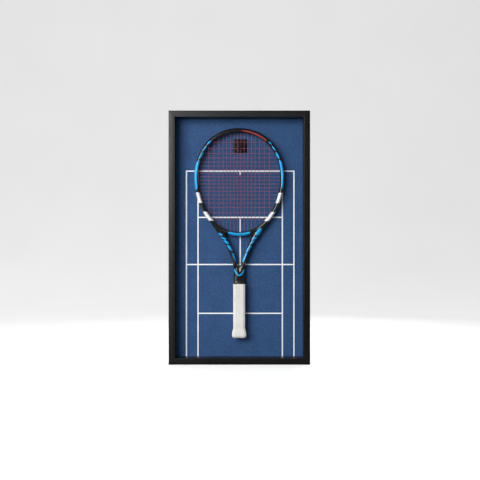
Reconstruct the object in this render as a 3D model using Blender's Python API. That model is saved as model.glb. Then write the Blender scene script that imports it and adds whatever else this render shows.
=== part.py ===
"""Racket display frame: a deep open-fronted box frame with a court print behind a racket on a hook.

Metres, +Z up. The frame's front faces -Y, it stands on z = 0, and x = 0 and y = 0 are the middle
of its width and of its whole depth. Depths are counted from the plane of the frame's front face.
"""
import math

import bmesh
import bpy
from mathutils import Vector

# Clearance between pieces that touch
GAP = 0.0003

# Moulding: outer size, face, the lip in front of the boards and the depth of the open recess
FRAME_WIDTH = 0.458
FRAME_HEIGHT = 0.822
FACE_WIDTH = 0.021
LIP_WIDTH = 0.006
RECESS_DEPTH = 0.050
EDGE_RADIUS = 0.0012

# Corner nails: bent strips driven in from behind, across each mitre
NAIL_LEG = 0.0045
NAIL_THICKNESS = 0.0007
NAIL_DEPTH = 0.010
NAIL_INSET = 0.0085

# Boards in the rabbet, from front to back
PRINT_THICKNESS = 0.0006
BOARD_THICKNESS = 0.005
PANEL_THICKNESS = 0.0025

# Court lines on the print: half widths from the court's middle, heights from the frame's middle
LINE_WIDTH = 0.0048
LINE_THICKNESS = 0.0003
COURT_X = 0.0027
DOUBLES_HALF = 0.1766
SINGLES_HALF = 0.1386
BASELINE_Z = 0.2187
SERVICE_TOP_Z = 0.0668
NET_Z = -0.0882
SERVICE_LOW_Z = -0.2487
CENTRE_MARK = 0.0122

# Turn buttons on the back, two on each side rail and one at top and bottom
BUTTON_WIDTH = 0.010
BUTTON_REACH = 0.016
BUTTON_THICKNESS = 0.0015
BUTTON_INSET = 0.009
BUTTON_HOLE = 0.0021
BUTTON_FRACTIONS = (0.2, 0.8)

# Round-head wood screws of the back hardware; the dome is in shares of the head
SCREW_SHANK = 0.0015
SCREW_HEAD = 0.0031
SCREW_HEAD_HEIGHT = 0.0016
SCREW_BITE = 0.010
SCREW_POINT = 0.0006
SCREW_DOME = ((0.6, 0.9), (1.0, 0.45))

# Hangers, above the frame's middle: a strap with a rolled knuckle, and the ring that turns in it
HANGER_Z = 0.179
HANGER_INSET = 0.0085
STRAP_WIDTH = 0.008
STRAP_LENGTH = 0.034
STRAP_THICKNESS = 0.0007
STRAP_SCREWS = (0.0185, 0.0285)
RING_WIRE = 0.001
RING_HALF_WIDTH = 0.0068
RING_CORNER = 0.002
RING_DROP = 0.007
RING_PLAY = 0.00025

# Rubber bumpers that keep the foot of the frame off the wall
BUMPER_RADIUS = 0.006
BUMPER_THICKNESS = 0.0045
BUMPER_Z = 0.045
BUMPER_INSET = 0.0075
BUMPER_TIP = 0.0042
BUMPER_TAPER = 0.0018

# Racket: overall length, place in the recess, head, beam and strings; BUTT_SHARE is how much of
# the recess's spare height lies under the butt, and FIRST_CROSS counts from the head's middle
RACKET_LENGTH = 0.6858
RACKET_X = -0.0007
BUTT_SHARE = 0.658
HEAD_HALF_WIDTH = 0.1404
HEAD_UPPER = 0.1525
HEAD_LOWER = 0.186
HEAD_SQUARENESS = 2.08
BEAM_FACE = 0.013
BEAM_DEPTH = 0.024
GUARD_THICKNESS = 0.0010
GUARD_HALF_ANGLE = 52.0
STRING_RADIUS = 0.00065
MAIN_STEPS = (0.0058, 0.0108, 0.0118, 0.0120, 0.0121, 0.0140, 0.0157, 0.0170)
FIRST_CROSS = 0.114
CROSS_STEPS = (0.0204, 0.0160, 0.0147, 0.0135, 0.0131, 0.0116, 0.0116, 0.0118, 0.0118,
               0.0118, 0.0118, 0.0118, 0.0124, 0.0130, 0.0134, 0.0142, 0.0170, 0.0196)
STRING_PLAY = 0.00065

# Racket throat: where the arm leaves the hoop and which way, then offsets from the axis and
# heights from the hoop's lowest point; the shaft's shoulders are drops below the notch and
# shares of the shaft's width
ARM_ANGLE = 139.5
ARM_OUTWARD = 0.0017
ARM_LEAVE = (-0.0455, -0.0390)
ARM_BEND_LOW = (0.0150, -0.0730)
ARM_FOOT = (0.0085, -0.1245)
ARM_FACE = 0.0136
ARM_SWELL = 0.0064
ARM_SWELL_SHARE = 0.5
ARM_DEPTH = 0.0226
SHAFT_WIDTH = 0.0352
SHAFT_DEPTH = 0.0248
THROAT_NOTCH = -0.1005
SHAFT_SHOULDERS = ((0.022, 1.0), (0.016, 0.95), (0.007, 0.70), (0.0, 0.42))

# Racket handle, under the bare shaft
SHAFT_LENGTH = 0.062
GRIP_WIDTH = 0.0392
GRIP_DEPTH = 0.0330
GRIP_THICKNESS = 0.0018
GRIP_BEVEL = 0.62
FLARE_WIDTH = 0.0100
FLARE_DEPTH = 0.0050
FLARE_HIGH = 0.0370
FLARE_LOW = 0.0115
CAP_HEIGHT = 0.026
CAP_FLOOR = 0.004
CAP_EDGE = 0.0030
TANG_WIDTH = 0.022
TANG_DEPTH = 0.016
TANG_END = 0.030
COLLAR_HEIGHT = 0.009
COLLAR_THICKNESS = 0.0008

# Mount: a square plate on the print with a hook through it; the knob is a share of the hook
MOUNT_SIZE = 0.045
MOUNT_CORNER = 0.006
MOUNT_THICKNESS = 0.003
MOUNT_X = 0.0022
MOUNT_ABOVE_HOOK = 0.0138
MOUNT_SCREW_HALF_SPACING = 0.014
MOUNT_SCREW_SHANK = 0.0014
MOUNT_SCREW_HEAD = 0.0030
MOUNT_SCREW_TAPER = 0.0018
MOUNT_SCREW_BITE = 0.002
HOOK_RADIUS = 0.0027
HOOK_TIP = 0.025
HOOK_KNOB = 1.02
HOOK_FLANGE = 0.0055
HOOK_FLANGE_FACE = 0.0047
HOOK_FLANGE_THICKNESS = 0.0012
HOOK_SHANK = 0.0023
NUT_RADIUS = 0.0045
NUT_THICKNESS = 0.0025
LIFT_ANGLE = 60.0
RESTING_CROSS = 1

# Facets
FILLET_STEPS = 3
ROUND_SIDES = 12
LARGE_SIDES = 16
KNUCKLE_STEPS = 14
BEND_STEPS = 5
FLARE_STEPS = 6
WIRE_SIDES = 8
STRING_SIDES = 6
BEAM_SIDES = 12
HOOP_STEPS = 72
ARM_STEPS = 16
SHARPEST_CORNER = 0.85

# Depths from the front face, and the row of the back hardware
PRINT_FRONT = RECESS_DEPTH + GAP
BOARD_FRONT = PRINT_FRONT + PRINT_THICKNESS + GAP
BOARD_BACK = BOARD_FRONT + BOARD_THICKNESS
PANEL_FRONT = BOARD_BACK + GAP
FRAME_DEPTH = PANEL_FRONT + PANEL_THICKNESS
HARDWARE_FRONT = FRAME_DEPTH + GAP
FRONT_Y = -(HARDWARE_FRONT + BUMPER_THICKNESS) / 2
RABBET_EDGE = FACE_WIDTH - LIP_WIDTH
PLATE_FRONT = PRINT_FRONT - GAP - MOUNT_THICKNESS

# Heights of the frame's middle, the hangers and the racket's butt end above the base
MIDDLE_Z = FRAME_HEIGHT / 2
HANGER_HEIGHT = MIDDLE_Z + HANGER_Z
BUTT_Z = FACE_WIDTH + BUTT_SHARE * (FRAME_HEIGHT - 2 * FACE_WIDTH - RACKET_LENGTH)

# Racket places: its middle plane lies where the butt cap just clears the print
RACKET_DEPTH = PRINT_FRONT - GAP - (GRIP_DEPTH + FLARE_DEPTH) / 2
STRING_PLANE = STRING_RADIUS + GAP / 2
HEAD_CENTRE = RACKET_LENGTH - GUARD_THICKNESS - GAP - BEAM_FACE / 2 - HEAD_UPPER
HEAD_FOOT = HEAD_CENTRE - HEAD_LOWER
NOTCH = HEAD_FOOT + THROAT_NOTCH
GRIP_TOP = NOTCH - SHAFT_LENGTH
HOOK_CLEAR = HOOK_RADIUS + STRING_RADIUS + GAP

MATERIALS = {
    "satin_black_wood": ((0.022, 0.022, 0.023), 0.45, 0.0),
    "galvanised_steel": ((0.55, 0.56, 0.58), 0.35, 1.0),
    "blue_card": ((0.045, 0.105, 0.235), 0.85, 0.0),
    "white_ink": ((0.82, 0.84, 0.88), 0.80, 0.0),
    "grey_board": ((0.36, 0.33, 0.29), 0.90, 0.0),
    "brown_hardboard": ((0.23, 0.13, 0.07), 0.80, 0.0),
    "black_rubber": ((0.02, 0.02, 0.02), 0.80, 0.0),
    "black_plastic": ((0.015, 0.015, 0.017), 0.40, 0.0),
    "black_steel": ((0.03, 0.03, 0.035), 0.35, 1.0),
    "gloss_black_graphite": ((0.012, 0.012, 0.013), 0.20, 0.0),
    "red_string": ((0.62, 0.09, 0.08), 0.35, 0.0),
    "foam_core": ((0.50, 0.47, 0.42), 0.90, 0.0),
    "white_grip": ((0.78, 0.77, 0.75), 0.60, 0.0),
    "white_plastic": ((0.75, 0.75, 0.74), 0.45, 0.0),
}


def clear_scene():
    """Remove every object that the file holds."""
    for old in list(bpy.data.objects):
        bpy.data.objects.remove(old, do_unlink=True)


def material(name):
    """Return the named Principled material, made on its first use."""
    known = bpy.data.materials.get(name)
    if known is not None:
        return known
    colour, roughness, metallic = MATERIALS[name]
    made = bpy.data.materials.new(name)
    made.use_nodes = True
    shader = made.node_tree.nodes["Principled BSDF"]
    shader.inputs["Base Color"].default_value = (*colour, 1.0)
    shader.inputs["Roughness"].default_value = roughness
    shader.inputs["Metallic"].default_value = metallic
    made.diffuse_color = (*colour, 1.0)
    return made


def finish(name, bm, material_name, origin=(0, 0, 0), smooth=False, parent=None):
    """Turn a bmesh in world places into an object whose own origin is at the given point."""
    origin = Vector(origin)
    bmesh.ops.translate(bm, verts=bm.verts, vec=-origin)
    bmesh.ops.recalc_face_normals(bm, faces=bm.faces)
    mesh = bpy.data.meshes.new(name)
    bm.to_mesh(mesh)
    bm.free()
    if smooth:
        mesh.shade_smooth()
        mesh.set_sharp_from_angle(angle=math.radians(40))
    made = bpy.data.objects.new(name, mesh)
    bpy.context.scene.collection.objects.link(made)
    if material_name:
        mesh.materials.append(material(material_name))
    if parent is None:
        made.location = origin
    else:
        made.parent = parent
        made.location = origin - parent.location
    return made


def cutter(name, bm):
    """Make a hidden tool body for a Boolean."""
    made = finish(name, bm, None)
    made.hide_render = True
    made.display_type = "WIRE"
    return made


def boolean(target, tool, operation="DIFFERENCE"):
    """Cut the tool from the target, or join it to it."""
    modifier = target.modifiers.new(tool.name, "BOOLEAN")
    modifier.operation = operation
    modifier.object = tool


def loft(bm, rings, closed=False):
    """Skin a row of point rings; a closed row joins its two ends and an open one is capped."""
    rows = [[bm.verts.new(point) for point in ring] for ring in rings]
    pairs = list(zip(rows, rows[1:]))
    if closed:
        pairs.append((rows[-1], rows[0]))
    for low, high in pairs:
        for i in range(len(low)):
            j = (i + 1) % len(low)
            bm.faces.new((low[i], low[j], high[j], high[i]))
    if not closed:
        bm.faces.new(rows[0][::-1])
        bm.faces.new(rows[-1])


def box(bm, low, high):
    """Add a box between two corners."""
    ring = ((low[0], low[1]), (high[0], low[1]), (high[0], high[1]), (low[0], high[1]))
    loft(bm, [[Vector((x, y, z)) for x, y in ring] for z in (low[2], high[2])])


def circle(radius, sides=ROUND_SIDES):
    """Return the points of a circle in its own plane."""
    angles = [2 * math.pi * i / sides for i in range(sides)]
    return [(radius * math.cos(a), radius * math.sin(a)) for a in angles]


def arc(centre, radius, start, end, steps):
    """Return points of an arc, with both ends, by angles in degrees."""
    points = []
    for i in range(steps + 1):
        a = math.radians(start + (end - start) * i / steps)
        points.append((centre[0] + radius * math.cos(a), centre[1] + radius * math.sin(a)))
    return points


def signed_power(value, power):
    """Raise a value's size to a power and keep its sign."""
    return math.copysign(abs(value) ** power, value)


def oval(half_width, half_depth, power=2.6, sides=BEAM_SIDES):
    """Return a superellipse, the rounded box shape of a moulded beam."""
    return [(signed_power(x, 2 / power) * half_width, signed_power(y, 2 / power) * half_depth)
            for x, y in circle(1.0, sides)]


def octagon(half_width, half_depth):
    """Return the section of a bevelled handle."""
    bevel = (1 - GRIP_BEVEL) * half_depth
    x, y = half_width - bevel, half_depth - bevel
    return [(half_width, y), (x, half_depth), (-x, half_depth), (-half_width, y),
            (-half_width, -y), (-x, -half_depth), (x, -half_depth), (half_width, -y)]


def turned(bm, centre, axis, profile, sides=ROUND_SIDES):
    """Turn a profile of (distance along the axis, radius) into a solid with flat ends."""
    axis = Vector(axis).normalized()
    side = axis.orthogonal().normalized()
    other = axis.cross(side)
    rings = []
    for along, radius in profile:
        middle = Vector(centre) + axis * along
        rings.append([middle + side * a + other * b for a, b in circle(radius, sides)])
    loft(bm, rings)


def sweep(bm, path, section, normal, closed=False, widths=None):
    """Sweep a section along a flat path; its first value points sideways, its second along normal.

    Widths, if given, stretch the section sideways at each point.
    """
    normal = Vector(normal)
    count = len(path)
    rings = []
    for i, point in enumerate(path):
        steps = []
        if closed or i > 0:
            steps.append((point - path[i - 1]).normalized())
        if closed or i < count - 1:
            steps.append((path[(i + 1) % count] - point).normalized())
        ahead = sum(steps, Vector()).normalized()
        widen = (widths[i] if widths else 1) / max(ahead.dot(steps[0]), SHARPEST_CORNER)
        side = ahead.cross(normal) * widen
        rings.append([point + side * a + normal * b for a, b in section])
    loft(bm, rings, closed)


def at_depth(depth):
    """Return the y of a depth behind the front face."""
    return FRONT_Y + depth


# Frame

def rail_places():
    """Return, for each rail, its half length and how (along, inward, depth) falls in the world."""
    half_width, half_height = FRAME_WIDTH / 2, MIDDLE_Z
    return {
        "frame_bottom_rail": (half_width, lambda s, u, d: Vector((s, at_depth(d), u))),
        "frame_top_rail": (half_width, lambda s, u, d: Vector((s, at_depth(d), FRAME_HEIGHT - u))),
        "frame_left_stile": (
            half_height, lambda s, u, d: Vector((u - half_width, at_depth(d), half_height + s))),
        "frame_right_stile": (
            half_height, lambda s, u, d: Vector((half_width - u, at_depth(d), half_height + s))),
    }


def moulding_profile():
    """Return the rail's section as (inward, depth) points: a deep bar with a rabbet behind."""
    r = EDGE_RADIUS
    return (arc((r, r), r, 180, 270, FILLET_STEPS)
            + arc((FACE_WIDTH - r, r), r, 270, 360, FILLET_STEPS)
            + [(FACE_WIDTH, RECESS_DEPTH), (RABBET_EDGE, RECESS_DEPTH),
               (RABBET_EDGE, FRAME_DEPTH), (0, FRAME_DEPTH)])


def make_rails():
    """Make the four mitred rails."""
    setback = GAP / math.sqrt(2)
    profile = moulding_profile()
    rails = {}
    for name, (half_length, place) in rail_places().items():
        bm = bmesh.new()
        loft(bm, [[place(end * (half_length - u - setback), u, d) for u, d in profile]
                  for end in (-1, 1)])
        rails[name] = finish(name, bm, "satin_black_wood", origin=place(0, 0, FRAME_DEPTH / 2))
    return rails


def nail_outline(grow=0.0):
    """Return the bent nail's outline, tip at the origin and legs trailing along -x."""
    cut = math.sqrt(0.5)
    leg = NAIL_LEG + grow
    thick = NAIL_THICKNESS + grow
    outer = [(-cut * leg + cut * grow, side * (cut * leg + cut * grow)) for side in (1, -1)]
    inner = [(-cut * leg - cut * thick, side * (cut * leg - cut * thick)) for side in (1, -1)]
    return [(grow / cut, 0), outer[1], inner[1], (-thick / cut, 0), inner[0], outer[0]]


def nail_corner(side_x, side_z):
    """Return the place of a corner nail's tip, at y = 0."""
    return Vector((side_x * (FRAME_WIDTH / 2 - NAIL_INSET), 0,
                   MIDDLE_Z + side_z * (MIDDLE_Z - NAIL_INSET)))


def add_nail(bm, side_x, side_z, grow, near, far):
    """Add one nail, or its slot, across the mitre of one corner."""
    outward = Vector((side_x, 0, side_z)).normalized()
    across = Vector((-side_z, 0, side_x)).normalized()
    rings = []
    for depth in (near, far):
        middle = nail_corner(side_x, side_z) + Vector((0, at_depth(depth), 0))
        rings.append([middle + outward * a + across * b for a, b in nail_outline(grow)])
    loft(bm, rings)


def make_corner_nails(rails):
    """Make the corner nails and cut their slots in both rails of each mitre."""
    slots = bmesh.new()
    start = FRAME_DEPTH - NAIL_DEPTH
    for side_z, height in ((-1, "bottom"), (1, "top")):
        for side_x, label in ((-1, "left"), (1, "right")):
            add_nail(slots, side_x, side_z, GAP, start - GAP, FRAME_DEPTH + NAIL_THICKNESS)
            bm = bmesh.new()
            add_nail(bm, side_x, side_z, 0.0, start, FRAME_DEPTH)
            corner = nail_corner(side_x, side_z) + Vector((0, at_depth(FRAME_DEPTH), 0))
            finish(f"corner_nail_{height}_{label}", bm, "galvanised_steel", origin=corner)
    tool = cutter("nail_slots", slots)
    for rail in rails.values():
        boolean(rail, tool)


def slab(name, front, thickness, material_name):
    """Make a flat board that fills the rabbet at one depth."""
    half_width = FRAME_WIDTH / 2 - RABBET_EDGE - GAP
    low, high = RABBET_EDGE + GAP, FRAME_HEIGHT - RABBET_EDGE - GAP
    bm = bmesh.new()
    box(bm, (-half_width, at_depth(front), low), (half_width, at_depth(front + thickness), high))
    return finish(name, bm, material_name, origin=(0, at_depth(front), MIDDLE_Z))


def court_bars():
    """Return the court's lines as flat bars: low x, low z, high x, high z."""
    half = LINE_WIDTH / 2
    foot = FACE_WIDTH + GAP
    bars = []
    baseline, service_top, net, service_low = (
        MIDDLE_Z + height for height in (BASELINE_Z, SERVICE_TOP_Z, NET_Z, SERVICE_LOW_Z))
    for offset in (-DOUBLES_HALF, -SINGLES_HALF, SINGLES_HALF, DOUBLES_HALF):
        x = COURT_X + offset
        bars.append((x - half, foot, x + half, baseline + half))
    for z, reach in ((baseline, DOUBLES_HALF), (service_top, SINGLES_HALF),
                     (net, DOUBLES_HALF), (service_low, SINGLES_HALF)):
        bars.append((COURT_X - reach, z - half, COURT_X + reach, z + half))
    bars.append((COURT_X - half, service_low, COURT_X + half, service_top))
    bars.append((COURT_X - half, baseline - CENTRE_MARK, COURT_X + half, baseline))
    return bars


def make_court_lines():
    """Make the court's lines as one thin network: a grid whose covered cells are raised."""
    bars = court_bars()
    xs = sorted({round(x, 7) for bar in bars for x in (bar[0], bar[2])})
    zs = sorted({round(z, 7) for bar in bars for z in (bar[1], bar[3])})
    back = at_depth(PRINT_FRONT - GAP)
    front = back - LINE_THICKNESS
    bm = bmesh.new()
    corners = {}

    def corner(i, k, y):
        if (i, k, y) not in corners:
            corners[i, k, y] = bm.verts.new((xs[i], y, zs[k]))
        return corners[i, k, y]

    def covered(i, k):
        if not (0 <= i < len(xs) - 1 and 0 <= k < len(zs) - 1):
            return False
        x, z = (xs[i] + xs[i + 1]) / 2, (zs[k] + zs[k + 1]) / 2
        return any(a < x < c and b < z < d for a, b, c, d in bars)

    for i in range(len(xs) - 1):
        for k in range(len(zs) - 1):
            if not covered(i, k):
                continue
            cell = ((i, k), (i + 1, k), (i + 1, k + 1), (i, k + 1))
            bm.faces.new([corner(*point, front) for point in cell])
            bm.faces.new([corner(*point, back) for point in reversed(cell)])
            sides = ((i, k - 1), (i + 1, k), (i, k + 1), (i - 1, k))
            for n, neighbour in enumerate(sides):
                if not covered(*neighbour):
                    a, b = cell[n], cell[(n + 1) % 4]
                    bm.faces.new((corner(*a, front), corner(*a, back),
                                  corner(*b, back), corner(*b, front)))
    finish("court_lines", bm, "white_ink", origin=(COURT_X, back, MIDDLE_Z + NET_Z))


# Back hardware

def add_wood_screw(bm, x, z, seat, grow=0.0):
    """Add a round-head screw, or its pilot hole, driven towards the front from depth seat."""
    tip = -(SCREW_BITE + grow)
    middle = (x, at_depth(seat), z)
    shank = SCREW_SHANK + grow
    if grow:
        profile = ((tip, shank), (SCREW_HEAD_HEIGHT, shank))
    else:
        profile = [(tip, SCREW_POINT), (tip + 2 * shank, shank), (0, shank), (0, SCREW_HEAD)]
        profile += [(SCREW_HEAD_HEIGHT * up, SCREW_HEAD * wide) for up, wide in SCREW_DOME]
    turned(bm, middle, (0, 1, 0), profile)


def button_places():
    """Return each turn button's pivot x and z, and the way its free end points."""
    places = []
    for side in (-1, 1):
        for fraction in BUTTON_FRACTIONS:
            x = side * (FRAME_WIDTH / 2 - BUTTON_INSET)
            places.append((x, fraction * FRAME_HEIGHT, (-side, 0)))
    places.append((0, FRAME_HEIGHT - BUTTON_INSET, (0, -1)))
    places.append((0, BUTTON_INSET, (0, 1)))
    return places


def make_turn_buttons():
    """Make the turn buttons, each with its origin on its screw."""
    half = BUTTON_WIDTH / 2
    steps = ROUND_SIDES // 2
    outline = arc((0, 0), half, 90, 270, steps)
    outline += arc((BUTTON_REACH - half, 0), half, -90, 90, steps)
    hole = [Vector(point).normalized() * BUTTON_HOLE for point in outline]
    seat = HARDWARE_FRONT
    for number, (x, z, (dx, dz)) in enumerate(button_places(), start=1):
        bm = bmesh.new()
        rings = []
        for ring, depth in ((outline, seat), (outline, seat + BUTTON_THICKNESS),
                            (hole, seat + BUTTON_THICKNESS), (hole, seat)):
            rings.append([Vector((x + a * dx - b * dz, at_depth(depth), z + a * dz + b * dx))
                          for a, b in ring])
        loft(bm, rings, closed=True)
        finish(f"turn_button_{number}", bm, "galvanised_steel", origin=(x, at_depth(seat), z))


def hanger_x(side):
    """Return the middle of one hanger's strap."""
    return side * (FRAME_WIDTH / 2 - HANGER_INSET)


def knuckle_radii():
    """Return the knuckle's inner and outer radius, from the ring's wire."""
    inner = RING_WIRE + RING_PLAY
    return inner, inner + STRAP_THICKNESS


def strap_outline():
    """Return the strap's side view as (behind the seat, above the axis) points."""
    inner, outer = knuckle_radii()
    middle = (outer, 0)
    return ([(0, -STRAP_LENGTH)] + arc(middle, outer, 180, -60, KNUCKLE_STEPS)
            + arc(middle, inner, -60, 180, KNUCKLE_STEPS) + [(STRAP_THICKNESS, -STRAP_LENGTH)])


def make_hangers():
    """Make both hanger straps and both rings, each ring with its origin on the knuckle's axis."""
    inner, outer = knuckle_radii()
    axis_y = at_depth(HARDWARE_FRONT + outer)
    for side, label in ((-1, "left"), (1, "right")):
        x = hanger_x(side)
        bm = bmesh.new()
        loft(bm, [[Vector((end, at_depth(HARDWARE_FRONT + a), HANGER_HEIGHT + b))
                   for a, b in strap_outline()]
                  for end in (x - STRAP_WIDTH / 2, x + STRAP_WIDTH / 2)])
        strap = finish(f"hanger_strap_{label}", bm, "galvanised_steel", origin=(x, axis_y, HANGER_HEIGHT))
        holes = bmesh.new()
        for drop in STRAP_SCREWS:
            turned(holes, (x, at_depth(FRAME_DEPTH), HANGER_HEIGHT - drop), (0, 1, 0),
                   ((0, SCREW_SHANK + GAP), (2 * outer, SCREW_SHANK + GAP)))
        boolean(strap, cutter(f"strap_holes_{label}", holes))
        make_ring(f"hanger_ring_{label}", Vector((x, axis_y, HANGER_HEIGHT)))


def make_ring(name, middle):
    """Make one D-shaped ring, hanging from its straight bar."""
    r, w = RING_CORNER, RING_HALF_WIDTH
    right = arc((w - r, -r), r, 90, 0, FILLET_STEPS)
    left = arc((r - w, -r), r, 180, 90, FILLET_STEPS)
    loop = right + arc((0, -RING_DROP), w, 0, -180, ROUND_SIDES) + left
    path = [middle + Vector((a, 0, b)) for a, b in loop]
    bm = bmesh.new()
    sweep(bm, path, circle(RING_WIRE, WIRE_SIDES), (0, 1, 0), closed=True)
    finish(name, bm, "galvanised_steel", origin=middle, smooth=True)


def screw_places():
    """Return each back screw's name, x, z and the depth that its head sits on."""
    button_seat = HARDWARE_FRONT + BUTTON_THICKNESS + GAP
    strap_seat = HARDWARE_FRONT + STRAP_THICKNESS + GAP
    places = []
    for number, (x, z, _) in enumerate(button_places(), start=1):
        places.append((f"turn_button_screw_{number}", x, z, button_seat))
    for side, label in ((-1, "left"), (1, "right")):
        for drop, which in zip(STRAP_SCREWS, ("upper", "lower")):
            places.append((f"hanger_screw_{label}_{which}", hanger_x(side), HANGER_HEIGHT - drop,
                           strap_seat))
    return places


def make_back_screws(rails):
    """Make the screws of the turn buttons and straps, and their pilot holes in the rails."""
    holes = bmesh.new()
    for name, x, z, seat in screw_places():
        bm = bmesh.new()
        add_wood_screw(bm, x, z, seat)
        finish(name, bm, "galvanised_steel", (x, at_depth(seat), z), smooth=True)
        add_wood_screw(holes, x, z, seat, GAP)
    tool = cutter("pilot_holes", holes)
    for rail in rails.values():
        boolean(rail, tool)


def make_bumpers():
    """Make the two bumpers at the foot of the side rails."""
    profile = ((0, BUMPER_RADIUS), (BUMPER_THICKNESS - BUMPER_TAPER, BUMPER_RADIUS),
               (BUMPER_THICKNESS, BUMPER_TIP))
    for side, label in ((-1, "left"), (1, "right")):
        middle = (side * (FRAME_WIDTH / 2 - BUMPER_INSET), at_depth(HARDWARE_FRONT), BUMPER_Z)
        bm = bmesh.new()
        turned(bm, middle, (0, 1, 0), profile, LARGE_SIDES)
        finish(f"wall_bumper_{label}", bm, "black_rubber", origin=middle, smooth=True)


# Racket mount

def cross_heights():
    """Return each cross string's height above the butt end, from the top down."""
    heights = [HEAD_CENTRE + FIRST_CROSS]
    for step in CROSS_STEPS:
        heights.append(heights[-1] - step)
    return heights


def hook_point():
    """Return the place where the resting cross string's middle lies in the hook."""
    height = BUTT_Z + cross_heights()[RESTING_CROSS]
    return Vector((RACKET_X, at_depth(RACKET_DEPTH) - STRING_PLANE, height))


def mount_centre():
    """Return the middle of the mount plate's front face."""
    arm_z = hook_point().z - HOOK_CLEAR
    return Vector((MOUNT_X, at_depth(PLATE_FRONT), arm_z + MOUNT_ABOVE_HOOK))


def add_mount_screw(bm, side, grow=0.0):
    """Add one countersunk screw, or its hole, driven in from behind the board."""
    length = BOARD_BACK - PLATE_FRONT - MOUNT_THICKNESS + MOUNT_SCREW_BITE + grow
    shank, head = MOUNT_SCREW_SHANK + grow, MOUNT_SCREW_HEAD + grow
    profile = [(0, head), (MOUNT_SCREW_TAPER + grow, shank), (length, shank)]
    if grow:
        profile.insert(0, (-grow, head))
    turned(bm, mount_screw_place(side), (0, -1, 0), profile)


def mount_screw_place(side):
    """Return the middle of a mount screw's head, on the back of the board."""
    place = mount_centre() + Vector((side * MOUNT_SCREW_HALF_SPACING, 0, 0))
    place.y = at_depth(BOARD_BACK)
    return place


def add_hook_bore(bm):
    """Add the hole for the hook's shank and the pocket for its nut."""
    start = hook_point() - Vector((0, 0, HOOK_CLEAR))
    start.y = at_depth(BOARD_BACK)
    pocket = NUT_THICKNESS + GAP
    through = BOARD_BACK - PLATE_FRONT + GAP
    turned(bm, start, (0, -1, 0),
           ((-GAP, NUT_RADIUS + GAP), (pocket, NUT_RADIUS + GAP), (pocket, HOOK_SHANK + GAP),
            (through, HOOK_SHANK + GAP)))


def make_mount(boards):
    """Make the plate, its screws, the hook and its nut, and bore the boards for them."""
    centre = mount_centre()
    reach = MOUNT_SIZE / 2 - MOUNT_CORNER
    outline = []
    for start, sx, sz in ((0, 1, 1), (90, -1, 1), (180, -1, -1), (270, 1, -1)):
        outline += arc((sx * reach, sz * reach), MOUNT_CORNER, start, start + 90, FILLET_STEPS)
    bm = bmesh.new()
    loft(bm, [[centre + Vector((a, depth, b)) for a, b in outline]
              for depth in (0, MOUNT_THICKNESS)])
    plate = finish("mount_plate", bm, "black_plastic", origin=centre)

    holes = bmesh.new()
    for side, label in ((-1, "left"), (1, "right")):
        add_mount_screw(holes, side, GAP)
        screw = bmesh.new()
        add_mount_screw(screw, side)
        finish(f"mount_screw_{label}", screw, "galvanised_steel", mount_screw_place(side), True)
    bore = bmesh.new()
    add_hook_bore(bore)
    for tool in (cutter("mount_screw_holes", holes), cutter("hook_bore", bore)):
        for target in (plate, *boards):
            boolean(target, tool)


def make_hook():
    """Make the hook: a shank through the boards, a flange, an arm and a slanted tip."""
    middle = hook_point()
    root = Vector((middle.x, at_depth(PLATE_FRONT) - GAP, middle.z - HOOK_CLEAR))
    tilt = math.radians(LIFT_ANGLE)
    bend = arc((0, HOOK_CLEAR), HOOK_CLEAR, -90, LIFT_ANGLE - 90, BEND_STEPS)
    tip = Vector((0, -math.cos(tilt), math.sin(tilt)))
    arm = [Vector((middle.x, middle.y - a, root.z + b)) for a, b in bend]
    path = [root + Vector((0, -HOOK_FLANGE_THICKNESS / 2, 0))] + arm
    path += [arm[-1] + tip * HOOK_TIP]
    bm = bmesh.new()
    sweep(bm, path, circle(HOOK_RADIUS), (1, 0, 0))
    hook = finish("racket_hook", bm, "black_steel", origin=root, smooth=True)

    end = at_depth(BOARD_BACK) - GAP - root.y
    stem = bmesh.new()
    turned(stem, root, (0, 1, 0),
           ((-HOOK_FLANGE_THICKNESS, HOOK_FLANGE_FACE), (-HOOK_FLANGE_THICKNESS / 2, HOOK_FLANGE),
            (0, HOOK_FLANGE), (0, HOOK_SHANK), (end, HOOK_SHANK)), LARGE_SIDES)
    boolean(hook, cutter("hook_stem", stem), "UNION")
    knob = bmesh.new()
    bmesh.ops.create_uvsphere(knob, u_segments=ROUND_SIDES, v_segments=ROUND_SIDES // 2,
                              radius=HOOK_RADIUS * HOOK_KNOB)
    bmesh.ops.translate(knob, verts=knob.verts, vec=path[-1])
    boolean(hook, cutter("hook_knob", knob), "UNION")
    make_nut(root)


def make_nut(root):
    """Make the hexagon nut in its pocket behind the board."""
    back = at_depth(BOARD_BACK) - GAP
    hexagon = circle(NUT_RADIUS, 6)
    hole = circle((HOOK_SHANK + GAP) / math.cos(math.pi / 6), 6)
    front = back - NUT_THICKNESS + GAP
    rings = []
    for ring, y in ((hexagon, front), (hexagon, back), (hole, back), (hole, front)):
        rings.append([Vector((root.x + a, y, root.z + b)) for a, b in ring])
    bm = bmesh.new()
    loft(bm, rings, closed=True)
    finish("hook_nut", bm, "galvanised_steel", origin=(root.x, back, root.z))


# Racket, in places counted from the butt end on the racket's axis

def racket_point(x, y, height):
    """Return the world place of a point given from the racket's axis and butt end."""
    return Vector((RACKET_X + x, at_depth(RACKET_DEPTH) + y, BUTT_Z + height))


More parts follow.
